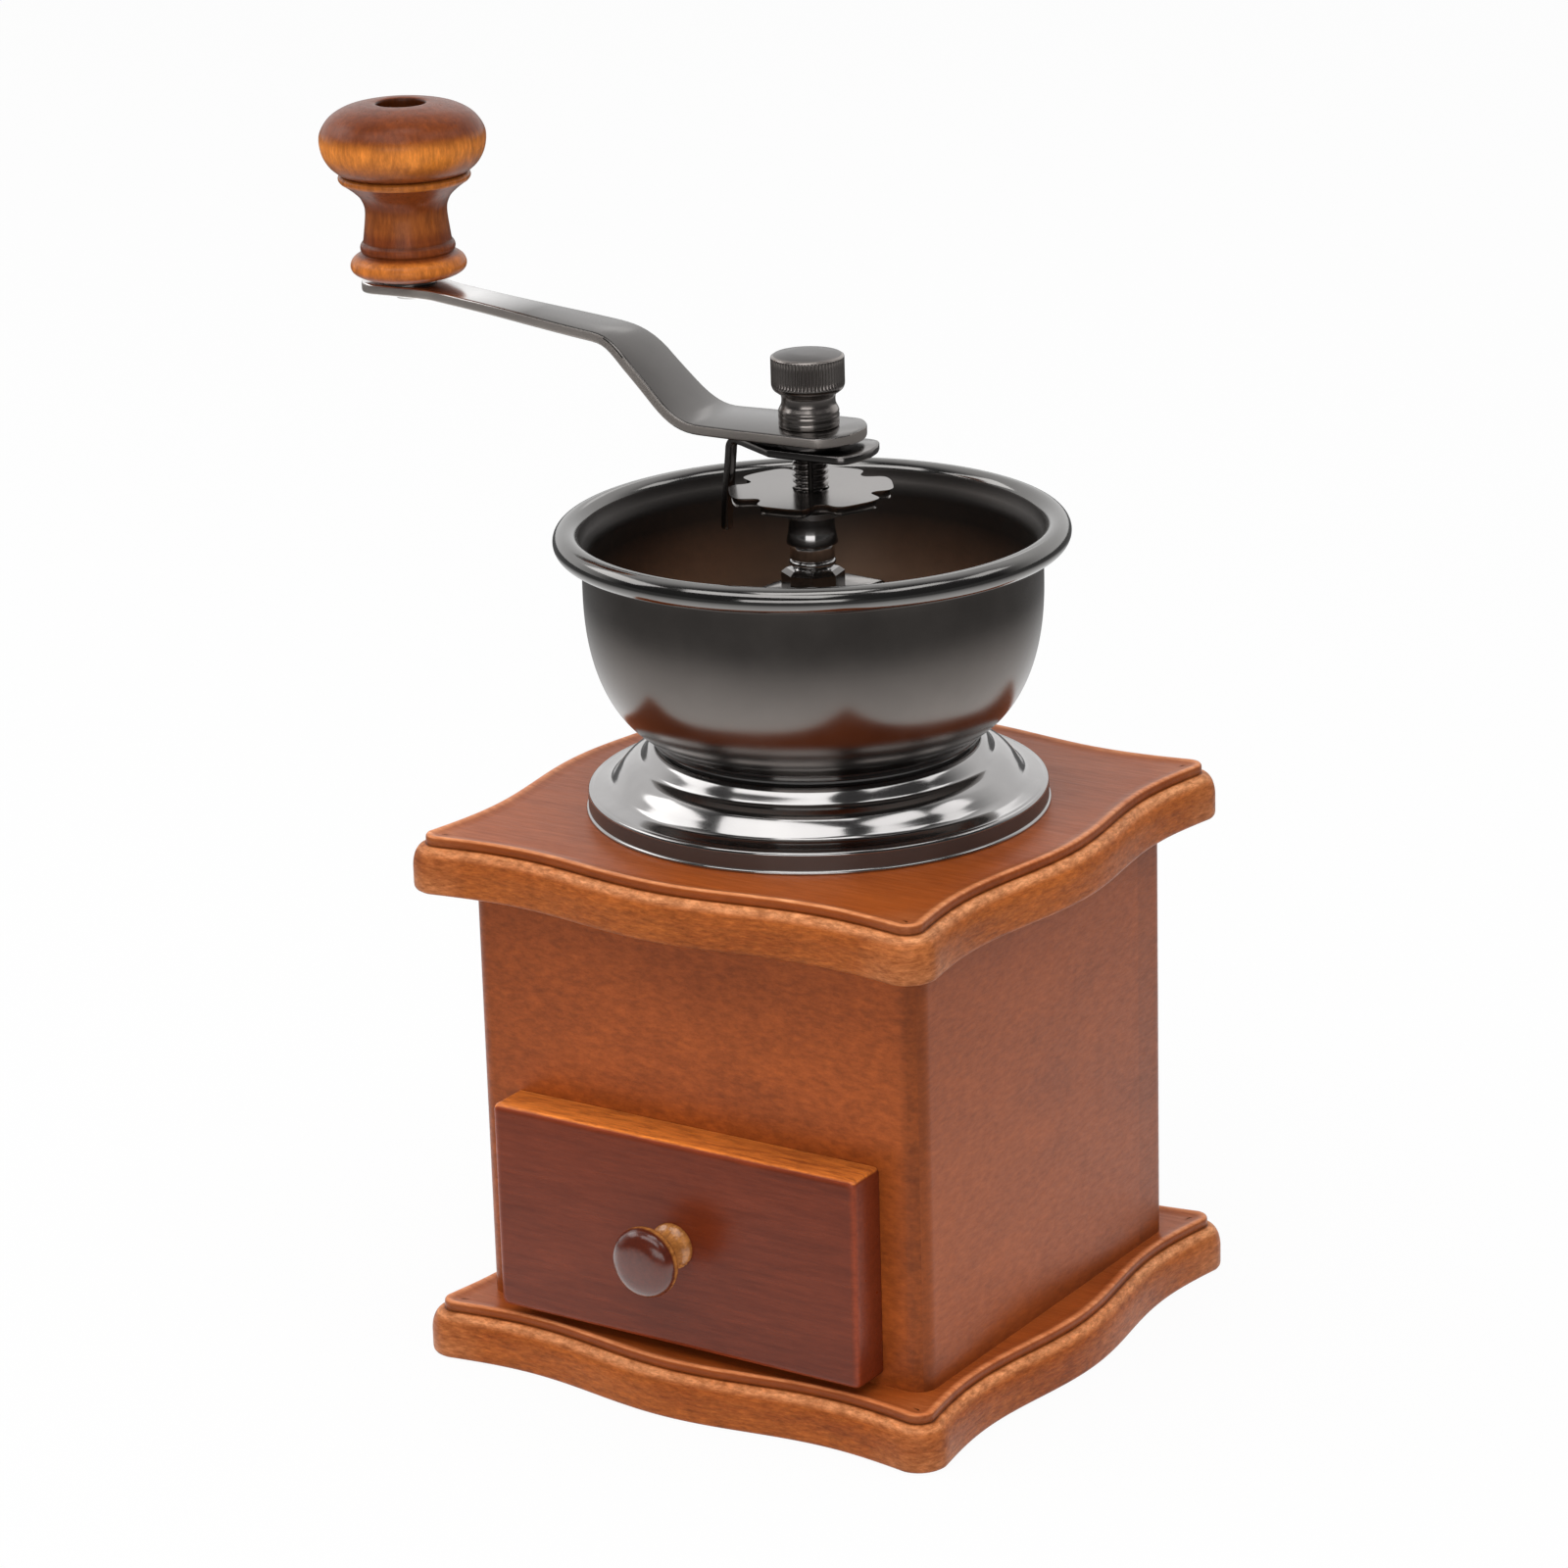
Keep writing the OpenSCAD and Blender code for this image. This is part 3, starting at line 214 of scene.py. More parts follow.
def metal(name, colour, rough, spun=0.0, haze=0.05, cloud_scale=60, brushed=None, whole=1.0, fade=None):
    """Plated metal: cloudy colour and roughness, faint wear, and fine turning lines where it is spun. A fade goes to
    another colour between two places on an axis, in millimetres."""
    t = Tree(name)
    cloud = t.noise(t.scaled((1, 1, 1)), cloud_scale, 4, 0.55)
    lightened = tuple(min(1.0, c * 1.25) for c in colour)
    shown = t.mix(t.spread(cloud, 0.35, 0.7, 0, 0.8), colour, lightened)
    if fade is not None:
        parts = t.add("ShaderNodeSeparateXYZ")
        t.link(t.object_coords, parts.inputs[0])
        axis, start, end, other = fade
        shown = t.mix(t.spread(parts.outputs[axis], start * MM, end * MM, 0.0, 1.0), shown, other)
    t.link(shown, t.shader.inputs["Base Color"])
    t.shader.inputs["Metallic"].default_value = whole
    t.link(t.spread(cloud, 0.3, 0.7, rough - haze / 2, rough + haze), t.shader.inputs["Roughness"])
    lines = t.noise(t.scaled(brushed or (0.01, 0.01, 1)), 1500, 2, 0.6)
    t.link(t.bump(lines, spun, 0.00004), t.shader.inputs["Normal"])
    return t.material


def cast_iron(name):
    t = Tree(name)
    grit = t.noise(t.scaled((1, 1, 1)), 700, 5, 0.7)
    cloud = t.noise(t.scaled((1, 1, 1)), 90, 3)
    t.link(t.mix(t.spread(cloud, 0.35, 0.65, 0, 1), linear("2b2b2d"), linear("474546")), t.shader.inputs["Base Color"])
    t.shader.inputs["Metallic"].default_value = 1.0
    t.link(t.spread(grit, 0.3, 0.7, 0.45, 0.7), t.shader.inputs["Roughness"])
    t.link(t.bump(grit, 0.5, 0.0002), t.shader.inputs["Normal"])
    return t.material


CASE_LIGHT = linear("a2501f")
CASE_DARK = linear("884119")
# Painted shade: darker along the rounded corners of the case, under the overhang of the top board and towards the foot
# of the sides.
FRONT_SHADE_BANDS = (("X", 39.6, 41.2, 0.72), ("Z", 74, 83, 0.85), ("X", -37, -42.5, 0.88))
SIDE_SHADE_BANDS = (("Y", -36.2, -38.2, 0.72), ("Y", 30.4, 31.0, 0.84), ("Z", 18, 9, 0.8), ("Z", 75, 83, 0.88))
wood_front = wood("front_wood", CASE_LIGHT, CASE_DARK, "mild_x", shade_bands=FRONT_SHADE_BANDS, fleck=0.8, spec=0.2)
wood_side = wood("side_wood", CASE_LIGHT, CASE_DARK, "mild_y", shade_bands=SIDE_SHADE_BANDS, fleck=0.45, spec=0.22)
wood_back = wood("back_wood", CASE_LIGHT, CASE_DARK, "mild_x", shade_bands=(("X", -41.2, -39.6, 0.72),), fleck=0.8, spec=0.2)
wood_board = wood("board_wood", linear("b25923"), linear("99491c"), "x", rough=0.34, fleck=0.35, spec=0.18,
                  pale_and_lit=linear("d89a6c"))
wood_edge = wood("edge_wood", linear("b26128"), linear("853f16"), "level", rough=0.42, fleck=1.0, spec=0.15, relief=0.3,
                 pale_and_lit=linear("d89a6c"))
wood_drawer = wood("drawer_wood", linear("733018"), linear("5d230f"), "x", rough=0.3, fleck=0.3, spec=0.25,
                   pale_and_lit=linear("d47a32"))
wood_plain_x = wood("plain_wood_x", linear("d2ab7a"), linear("b78c5c"), "x", rough=0.55)
wood_plain_y = wood("plain_wood_y", linear("d2ab7a"), linear("b78c5c"), "y", rough=0.55)
wood_knob = wood("knob_wood", linear("84401a"), linear("6a2f12"), "z", rough=0.3, fleck=0.7, spec=0.2, coat=0.04,
                 pale_and_lit=linear("ee9038"), even=0.7)
wood_pull = wood("pull_wood", linear("5f2616"), linear("4a1a0e"), "y", rough=0.16, fleck=0.3, spec=0.5, coat=0.4,
                 pale_and_lit=linear("d9924a"))
black_chrome = metal("black_chrome", (0.36, 0.35, 0.345), 0.12, spun=0.03, haze=0.03)
stand_side = metal("stand_side", (0.11, 0.103, 0.098), 0.3, spun=0.03, whole=0.7)
pewter = metal("pewter", (0.162, 0.145, 0.134), 0.2, spun=0.05)
# Painted reflection inside the bowl: warm bronze low down stands for the brown glow reflected there, fading to near
# black towards the rim.
bowl_inner_reflection = metal("bowl_inner_reflection", (0.42, 0.28, 0.2), 0.42, spun=0.05, fade=("Z", 121, 132, (0.075, 0.068, 0.064)))
rim_chrome = metal("rim_chrome", (0.17, 0.165, 0.16), 0.12, spun=0.04, haze=0.03)
# Painted shade for the narrow slot in the spindle.
slot_painted_shade = metal("slot_painted_shade", (0.03, 0.027, 0.025), 0.5)
gunmetal = metal("gunmetal", (0.15, 0.14, 0.135), 0.2, spun=0.06, brushed=(0.05, 1, 1))
# Painted highlight: the outer arm fades to near white towards the knob.
arm_metal_highlight = metal("arm_metal_highlight", (0.135, 0.127, 0.122), 0.2, spun=0.06, brushed=(0.05, 1, 1),
                  fade=("X", -51, -63, (0.85, 0.84, 0.83)))
arm_side = metal("arm_side", (0.36, 0.325, 0.3), 0.45, whole=0.8)
nut_metal = metal("nut_metal", (0.27, 0.245, 0.23), 0.24)
nut_top = metal("nut_top", (0.09, 0.083, 0.08), 0.3)
bright_nickel = metal("bright_nickel", (0.235, 0.22, 0.21), 0.2)
dark_steel = metal("dark_steel", (0.2, 0.185, 0.178), 0.18)
steel = metal("steel", (0.42, 0.41, 0.4), 0.25)
spring_steel = metal("spring_steel", (0.3, 0.29, 0.28), 0.3)
iron = cast_iron("cast_iron")


# Mesh helpers

def keep(bm, name, body, material, stands_for=(), sharp=38.0):
    """Turns a bmesh in millimetres into a piece that rides on a body, or on none when it bends between two."""
    bmesh.ops.remove_doubles(bm, verts=bm.verts, dist=0.002)
    bmesh.ops.recalc_face_normals(bm, faces=bm.faces)
    limit = math.radians(sharp)
    for face in bm.faces:
        face.smooth = True
    for edge in bm.edges:
        if len(edge.link_faces) != 2 or edge.calc_face_angle(0.0) > limit:
            edge.smooth = False
    bmesh.ops.scale(bm, vec=(MM, MM, MM), verts=bm.verts)
    mesh = bpy.data.meshes.new(name)
    bm.to_mesh(mesh)
    bm.free()
    piece = bpy.data.objects.new(name, mesh)
    scene.collection.objects.link(piece)
    mesh.materials.append(material)
    if body:
        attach(piece, body)
    if stands_for:
        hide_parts(*stands_for)
    return piece


# Mesh with a per-point attribute of painted light and shade.
def painted_shading_mesh():
    bm = bmesh.new()
    return bm, bm.verts.layers.float.new("painted_shading")


def paint(piece, material, where):
    """Gives another material to the faces whose middle, in millimetres, passes a test."""
    piece.data.materials.append(material)
    index = len(piece.data.materials) - 1
    for face in piece.data.polygons:
        middle = face.center / MM
        if where(middle, face.normal):
            face.material_index = index


def show_pale_and_lit(piece, share):
    """Fills the attribute that shows paler wood, partly real wear and partly painted light, from each point in
    millimetres.
    """
    layer = piece.data.attributes.new("pale_and_lit", "FLOAT", "POINT")
    for i, vert in enumerate(piece.data.vertices):
        layer.data[i].value = share(vert.co / MM)


def bridge_rings(bm, rings, closed=False):
    """Faces between rings of equally many points, each ring closed on itself."""
    count = len(rings[0])
    pairs = list(zip(rings, rings[1:]))
    if closed:
        pairs.append((rings[-1], rings[0]))
    for low, high in pairs:
        for i in range(count):
            j = (i + 1) % count
            corners = []
            for vert in (low[i], low[j], high[j], high[i]):
                if vert not in corners:
                    corners.append(vert)
            if len(corners) > 2:
                bm.faces.new(corners)


def lathe(profile, segments=160, painted_shadings=None, radius=None, closed=False):
    """Surface turned round the Z axis. The profile is [(radius, height)] and tones hold one value of painted light and
    shade for each.
    """
    bm, painted_shading = painted_shading_mesh()
    rings = []
    for k, (r, z) in enumerate(profile):
        ring = []
        if r < 1e-6:
            vert = bm.verts.new((0, 0, z))
            ring = [vert] * segments
            vert[painted_shading] = painted_shadings[k] if painted_shadings else 1.0
        else:
            for i in range(segments):
                a = 2 * math.pi * i / segments
                rr = radius(a, r, z) if radius else r
                vert = bm.verts.new((rr * math.cos(a), rr * math.sin(a), z))
                vert[painted_shading] = painted_shadings[k] if painted_shadings else 1.0
                ring.append(vert)
        rings.append(ring)
    bridge_rings(bm, rings, closed)
    return bm


def flowing(points, steps=6):
    """Catmull-Rom curve through points, of any dimension."""
    out = []
    for i in range(len(points) - 1):
        p0 = points[max(i - 1, 0)]
        p1, p2 = points[i], points[i + 1]
        p3 = points[min(i + 2, len(points) - 1)]
        for k in range(steps):
            t = k / steps
            out.append(tuple(
                0.5 * (2 * b + (c - a) * t + (2 * a - 5 * b + 4 * c - d) * t * t + (3 * b - a - 3 * c + d) * t ** 3)
                for a, b, c, d in zip(p0, p1, p2, p3)))
    out.append(tuple(points[-1]))
    return out


def arc(cx, cz, rx, rz, start, end, count):
    return [(cx + rx * math.cos(math.radians(start + (end - start) * k / count)),
             cz + rz * math.sin(math.radians(start + (end - start) * k / count))) for k in range(count + 1)]


def place(bm, matrix):
    bmesh.ops.transform(bm, matrix=matrix, verts=bm.verts)


def fill_between(bm, loops):
    """Flat cap bounded by closed loops of vertices."""
    edges = []
    for loop in loops:
        for i in range(len(loop)):
            pair = (loop[i], loop[(i + 1) % len(loop)])
            edges.append(bm.edges.get(pair) or bm.edges.new(pair))
    bmesh.ops.triangle_fill(bm, use_beauty=True, use_dissolve=False, edges=edges)


# Moulded boards

def smooth(value, low, high):
    t = max(0.0, min(1.0, (value - low) / (high - low)))
    return t * t * (3 - 2 * t)


def board_ring(bm, painted_shading, width, inset, z, shade):
    half, r = width / 2 - inset, BOARD_CORNER_R - inset
    steps, corner_steps = 60, 12
    side = []
    for i in range(steps + 1):
        t = 2 * i / steps - 1
        side.append((t * (half - r), -half - BOARD_WAVE * math.cos(math.radians(270 * t))))
    for i in range(1, corner_steps):
        a = math.radians(90 * i / corner_steps - 90)
        side.append((half - r + r * math.cos(a), -half + r + r * math.sin(a)))
    ring = []
    for k in range(4):
        c, s = round(math.cos(math.pi / 2 * k)), round(math.sin(math.pi / 2 * k))
        for x, y in side:
            vert = bm.verts.new((x * c - y * s, x * s + y * c, z))
            vert[painted_shading] = shade
            ring.append(vert)
    return ring


def circle(bm, painted_shading, x, y, r, z, shade=0.8, count=40):
    ring = []
    for i in range(count):
        a = 2 * math.pi * i / count
        vert = bm.verts.new((x + r * math.cos(a), y + r * math.sin(a), z))
        vert[painted_shading] = shade
        ring.append(vert)
    return ring


def board(name, node, width, low, top_holes, bottom_holes):
    """Board with a rounded foot, an ovolo, a quirk and a raised bead round its face, with painted shade in the quirk
    and painted highlights on the ovolo and the bead.
    """
    bm, painted_shading = painted_shading_mesh()
    ovolo_z, bead_z = BOARD_T - 5.1, BOARD_T - 1.3
    # The third value in each step is painted light and shade: darker towards the foot, lighter up the ovolo where light
    # falls, painted shade in the quirk and on the riser, and a painted highlight along the top of the bead.
    steps = [(0.9, 0.0, 0.75), (0.55, 0.06, 0.8), (0.25, 0.25, 0.85), (0.06, 0.55, 0.9), (0.0, 0.9, 0.95),
             (0.0, 2.2, 0.98)]
    for k in range(13):
        a = math.radians(7.5 * k)
        shade = 0.98 + 0.32 * math.sin(a) ** 2
        steps.append((BOARD_LEDGE * (1 - math.cos(a)), ovolo_z + (bead_z - ovolo_z) * math.sin(a), shade))
    steps += [(BOARD_LEDGE + 0.2, bead_z + 0.02, 0.55), (BOARD_LEDGE + 0.32, bead_z + 0.1, 0.45),
              (BOARD_LEDGE + 0.26, bead_z + 0.25, 0.5), (BOARD_LEDGE + 0.2, bead_z + 0.4, 0.62),
              (BOARD_LEDGE + 0.2, bead_z + 1.1, 0.64), (BOARD_LEDGE + 0.25, bead_z + 1.4, 0.72),
              (BOARD_LEDGE + 0.4, bead_z + 1.6, 1.3), (BOARD_LEDGE + 0.7, bead_z + 1.7, 1.6),
              (BOARD_LEDGE + 1.1, bead_z + 1.68, 1.45), (BOARD_LEDGE + 1.9, bead_z + 1.45, 1.0),
              (BOARD_LEDGE + 2.9, BOARD_T, 1.0), (BOARD_LEDGE + 3.4, BOARD_T, 1.0)]
    rings = [board_ring(bm, painted_shading, width, inset, low + z, shade) for inset, z, shade in steps]
    bridge_rings(bm, rings)
    # Hole rings carry painted shade: 0.8 at the mouths and 0.6 deep inside the screw holes.
    tops = [circle(bm, painted_shading, x, y, r, low + BOARD_T) for x, y, r, _, _ in top_holes]
    fill_between(bm, [rings[-1]] + tops)
    lows = [circle(bm, painted_shading, x, y, r, low) for x, y, r, _, _ in bottom_holes]
    fill_between(bm, [rings[0]] + lows)
    for ring, (x, y, _, inner, depth) in zip(lows, bottom_holes):
        bridge_rings(bm, [ring, circle(bm, painted_shading, x, y, inner, low + depth, 0.6)])
    if top_holes:
        bridge_rings(bm, [tops[0], lows[0]])
    piece = keep(bm, name, "housing", wood_board, (node,), sharp=50)
    paint(piece, wood_edge, lambda middle, normal: middle.z < low + bead_z + 0.3)
    corner = width / 2 - 4

    # Paler wood: real wear round the corners, a painted sheen band on the upper ovolo and a painted highlight along the
    # top of the bead.
    def lightened(point):
        reach = max(0.0, 1 - math.hypot(abs(point.x) - corner, abs(point.y) - corner) / 9)
        crest = 1 - min(1.0, abs(point.z - low - 1.4) / 1.6)
        band = 0.7 * smooth(point.z - low, 6.2, 7.3) * (1 - smooth(point.z - low, bead_z - 0.02, bead_z + 0.02))
        lip_highlight = 0.6 * smooth(point.z - low, bead_z + 1.4, bead_z + 1.6)
        return max(reach * (0.25 + 0.6 * crest), band, lip_highlight)

    show_pale_and_lit(piece, lightened)
    return piece


screw_spots = [(sx * 40.0, sy * 24.0, 3.45, 1.65, 1.85) for sx in (-1, 1) for sy in (-1, 1)]
board("base_board_moulded", "base_board", BASE_W, 0.0, [], screw_spots)
neck_hole = (0.0, 0.0, 19.6, 19.6, 0.0)
board("top_board_moulded", "top_board", TOP_W, TOP_Z, [neck_hole], [neck_hole])


# Drawer front and the two turned wooden knobs

def drawer_front():
    bm, painted_shading = painted_shading_mesh()
    half_w, low, high, depth = 35.5, 11.0, 47.2, 7.5
    chamfer = [(0.0, 0.0), (0.0, depth - 1.1), (0.12, depth - 0.6), (0.4, depth - 0.25), (0.85, depth - 0.06), (1.2, depth)]
    # Painted light: lighter sides and a painted highlight along the chamfered front edge.
    shades = [1.1, 1.35, 1.7, 1.8, 1.2, 1.0]
    rings = []
    for (inset, out), shade in zip(chamfer, shades):
        ring = []
        r = 0.9
        for sx, sz, start in ((1, -1, -90), (1, 1, 0), (-1, 1, 90), (-1, -1, 180)):
            for k in range(5):
                a = math.radians(start + 22.5 * k)
                x = sx * (half_w - inset - r) + r * math.cos(a)
                z = ((low + inset + r) if sz < 0 else (high - inset - r)) + r * math.sin(a)
                vert = bm.verts.new((x, FACE_BACK - out, z))
                vert[painted_shading] = shade
                ring.append(vert)
        rings.append(ring)
    bridge_rings(bm, rings)
    bm.faces.new(rings[0])
    bm.faces.new(rings[-1])
    piece = keep(bm, "drawer_front", "drawer", wood_drawer, ("drawer_face",), sharp=60)
    # Paler top face: painted light where the light falls on it.
    show_pale_and_lit(piece, lambda point: 1.0 if point.z > high - 0.5 and point.y > FACE_BACK - depth + 0.5 else 0.0)
    return piece


drawer_front()

pull_line = flowing([(3.9, 0.0), (3.85, 0.7), (3.1, 1.6), (2.75, 2.9), (3.1, 4.2), (4.1, 5.3), (5.2, 6.2),
                     (5.85, 7.0), (6.0, 7.8), (5.8, 8.7), (5.1, 9.6), (3.7, 10.3), (1.9, 10.56), (0.0, 10.6)], 5)
pull = lathe([(0.0, 0.0)] + pull_line, 96)
PULL_FOOT = -47.61
place(pull, Matrix.Translation((0, PULL_FOOT, PULL_Z)) @ Matrix.Rotation(math.radians(90), 4, "X"))
pull = keep(pull, "drawer_pull", "drawer", wood_pull, ("drawer_knob",))
show_pale_and_lit(pull, lambda point: max(0.0, min(1.0, (point.y - PULL_FOOT + 8.3) / 0.5)))

knob_line = (
    [(2.2, 0.0), (6.5, 0.0)]
    + flowing([(6.86, 0.1), (8.2, 0.45), (9.4, 1.15), (9.8, 2.1), (9.45, 3.15), (8.7, 3.8), (8.0, 4.15)], 5)
    + flowing([(7.75, 4.35), (7.95, 4.75), (8.02, 5.2), (7.9, 5.7), (7.65, 6.05)], 4)
    + flowing([(7.5, 6.2), (7.4, 6.7), (7.2, 8.2), (7.0, 9.8), (6.9, 11.2), (7.05, 12.4), (7.7, 13.8), (8.9, 15.0),
               (10.2, 16.0), (10.75, 16.35)], 6)
    + flowing([(10.85, 16.45), (11.12, 16.85), (11.12, 17.3), (10.8, 17.65)], 4)
    + flowing([(10.55, 17.8), (11.3, 18.2), (12.6, 19.4), (13.6, 21.2), (14.0, 23.4), (13.65, 25.2), (12.2, 27.2),
               (9.9, 28.6), (7.2, 29.33), (5.4, 29.52)], 7)
    + flowing([(4.9, 29.54), (4.35, 29.42), (4.12, 29.1), (4.1, 28.4)], 4)
    + [(4.1, 19.75), (2.15, 19.75), (2.15, 0.0)])


# Painted light and shade: dark in the recess and the grooves, lighter on the foot bead.
def knob_painted_shading(r, z):
    if r < 4.3 and z > 19:
        return 0.35
    groove = min(abs(z - 4.3), abs(z - 6.1), abs(z - 17.75))
    crest = 1.25 if z < 4.2 else 1.0
    return crest * (0.62 + 0.38 * min(1.0, groove / 0.5))


def knob_pale_and_lit(point):
    """Paler wood, partly where the varnish is thin and partly painted light where light falls: a band round the bulb,
    the ring, the lower waist and the foot bead.
    """
    z = point.z - KNOB_Z
    bulb = 0.85 * smooth(z, 18.0, 22.6) * (1 - smooth(z, 22.9, 25.8))
    ring = 0.4 if 16.4 < z < 17.7 else 0.0
    waist = 0.16 * smooth(z, 7.0, 9.0) * (1 - smooth(z, 10.5, 13.0))
    foot = 0.42 * smooth(z, 0.6, 2.2) * (1 - smooth(z, 3.4, 4.2))
    # The last term lightens the recess floor nearer the spindle than CRANK_L - 9, a painted glint.
    return max(bulb, ring, waist, foot, 0.8 if 19.7 < z < 19.8 and math.hypot(point.x, point.y) < CRANK_L - 9 else 0.0)


knob = lathe(knob_line, 144, [knob_painted_shading(r, z) for r, z in knob_line])
crank_turn = Matrix.Rotation(math.radians(CRANK_ANGLE), 4, "Z")
place(knob, crank_turn @ Matrix.Translation((CRANK_L, 0, KNOB_Z)))
knob = keep(knob, "crank_knob_turned", "knob", wood_knob, ("crank_knob",))
show_pale_and_lit(knob, knob_pale_and_lit)


# Hopper

stand_line = (
    [(38.5, 0.0), (38.72, 0.06), (38.78, 0.3), (38.65, 0.55), (38.42, 0.66), (38.4, 3.1)]
    + arc(37.95, 3.15, 0.45, 0.55, 0, 90, 6)
    + flowing([(37.7, 3.74), (37.3, 3.88), (36.0, 4.1), (35.0, 4.36), (34.4, 4.78), (33.9, 5.4), (33.3, 6.2), (32.6, 7.0), (32.1, 7.45), (31.4, 7.9),
               (30.6, 8.25), (29.9, 8.5), (29.45, 8.8), (29.1, 9.3), (28.6, 10.1), (28.1, 10.75), (27.5, 11.12),
               (26.6, 11.25)], 4)
    + [(26.35, 11.3), (26.3, 12.0), (14.0, 12.0), (14.0, 11.0), (23.3, 11.0), (25.4, 9.6), (29.0, 6.2), (32.4, 3.4),
       (36.6, 2.3), (37.5, 1.9), (37.5, 0.0)])
stand = lathe([(r, z + DECK_Z) for r, z in stand_line], 240, closed=True)
stand = keep(stand, "hopper_stand_spun", "housing", black_chrome, ("hopper_stand",), sharp=55)
paint(stand, stand_side, lambda middle, normal: DECK_Z + 0.66 < middle.z < DECK_Z + 3.12
      and math.hypot(middle.x, middle.y) > 38)


def bowl_curve(inset, steps):
    out = []
    for k in range(steps + 1):
        u = 0.28 + 0.72 * k / steps
        q = 1 - u * u
        out.append((24 - inset + 14 * math.sqrt(1 - q ** 2.3), 0.5 + inset + 25.5 * (1 - q)))
    return out


rim_r, rim_z, rim_tube = 40.45, 34.2, 2.15
bowl_line = (
    [(14.0, 0.0), (27.4, 0.0), (27.6, 0.2), (27.6, 0.9), (27.75, 1.15)]
    + bowl_curve(0.0, 40)
    + [(38.0, 29.6), (38.0, 31.2), (38.05, 32.2)]
    + arc(rim_r, rim_z, rim_tube, rim_tube, -152, 172, 42)
    + [(37.8, 33.2), (37.05, 32.2), (37.0, 30.8)]
    + bowl_curve(1.0, 40)[::-1]
    + [(27.2, 1.5), (24.5, 1.0), (14.3, 1.0), (14.0, 0.8)])
bowl = lathe([(r, z + STAND_TOP) for r, z in bowl_line], 240, closed=True)
bowl = keep(bowl, "hopper_bowl_spun", "housing", pewter, ("hopper_bowl",), sharp=60)
paint(bowl, bowl_inner_reflection, lambda middle, normal: normal.x * middle.x + normal.y * middle.y < 0 or normal.z > 0.9)
paint(bowl, rim_chrome, lambda middle, normal: middle.z > STAND_TOP + rim_z - rim_tube - 0.2
      and math.hypot(middle.x, middle.y) > 38.5 or middle.z < STAND_TOP + 1.2)

SLEEVE_Z = 129.02
COLLAR_TURN = math.radians(-57)
sleeve_line = (
    [(3.0, -2.2), (4.4, -2.2), (4.2, -1.6), (4.15, 0.0), (5.25, 0.0), (5.25, 2.7), (4.4, 3.35), (3.82, 3.5)]
    + arc(3.4, 4.35, 0.5, 0.55, -75, 75, 10)
    + [(3.7, 5.05), (3.68, 6.8), (3.9, 7.25), (4.25, 7.6), (4.25, 7.9), (3.95, 9.4), (3.88, 9.7), (3.8, 11.0),
       (3.75, 12.3), (3.0, 12.3)])


def collar(a, r, z):
    """Eight-sided below the bead, round elsewhere."""
    if r < 4.18 or z < SLEEVE_Z - 0.01 or z > SLEEVE_Z + 3.65:
        return r
    side = math.radians(45)
    off = (a - COLLAR_TURN) % side - side / 2
    return r * math.cos(side / 2) / math.cos(off)


sleeve = lathe([(r, z + SLEEVE_Z) for r, z in sleeve_line], 120, radius=collar, closed=True)
sleeve = keep(sleeve, "bearing_sleeve_turned", "housing", black_chrome, ("bearing_sleeve",), sharp=28)
paint(sleeve, gunmetal, lambda middle, normal: middle.z < SLEEVE_Z + 3.4)


# Spindle with its M6 thread, two flats, a slot and a stepped foot

def spindle_piece():
    flat_dir, flat_half, flat_low = math.radians(CRANK_ANGLE), 2.45, 139.75
    slot_dir, slot_half = math.radians(-57), math.radians(6.5)
    heights = [64.5, 64.9, 71.13, 71.15]
    z = 72.0
    while z < 139.6:
        heights.append(z)
        z += 1.2
    z = 139.7
    while z < 165.9:
        heights.append(z)
        z += 0.125

    def radius(a, r, z):
        if z < 71.14:
            return 2.5
        if z < 139.9:
            return 2.95
        phase = (z - a / (2 * math.pi)) % 1.0
        ridge = 1 - abs(2 * phase - 1)
        out = 2.95 - 0.52 * (1 - min(1.0, 1.25 * ridge)) * min(1.0, (z - 139.9) / 1.5)
        if z > 165.2:
            out = min(out, 2.95 - (z - 165.2))
        across = abs(math.cos(a - flat_dir))
        half = 2.95 if 146.3 < z < 151.8 else flat_half
        if z > flat_low and across > 0.3:
            out = min(out, half / across)
        off_slot = abs((a - slot_dir + math.pi) % (2 * math.pi) - math.pi)
        if off_slot < slot_half:
            out = min(out, 1.9)
        return out

    line = [(0.0, 64.5)] + [(2.3 if h < 64.6 else 2.95, h) for h in heights] + [(0.0, heights[-1])]
    bm = lathe(line, 120, radius=radius)
    piece = keep(bm, "spindle_threaded", "spindle", dark_steel, ("spindle",), sharp=70)
    # Painted shade: the slot faces get a near-black metal.
    paint(piece, slot_painted_shade, lambda middle, normal: middle.z > 141 and math.hypot(middle.x, middle.y) < 2.2
          and abs(math.atan2(middle.y, middle.x) - slot_dir) < slot_half)


spindle_piece()


# Spring: one round wire with a closed turn at each end

def helix(low, high, radius, wire, turns):
    bm = bmesh.new()
    steps, sides = 28, 10
    total = int((turns + 2) * steps)
    rings = []
    for i in range(total + 1):
        t = i / steps
        a = 2 * math.pi * t
        if t < 1:
            z = low + wire + 0.25 * wire * t
        elif t > turns + 1:
            z = high - wire - 0.25 * wire * (turns + 2 - t)
        else:
            z = low + 1.25 * wire + (high - low - 2.5 * wire) * (t - 1) / turns
        ring = []
        for k in range(sides):
            b = 2 * math.pi * k / sides
            r = radius + wire * math.cos(b)
            ring.append(bm.verts.new((r * math.cos(a), r * math.sin(a), z + wire * math.sin(b))))
        rings.append(ring)
    bridge_rings(bm, rings)
    bm.faces.new(rings[0])
    bm.faces.new(rings[-1])
    return bm


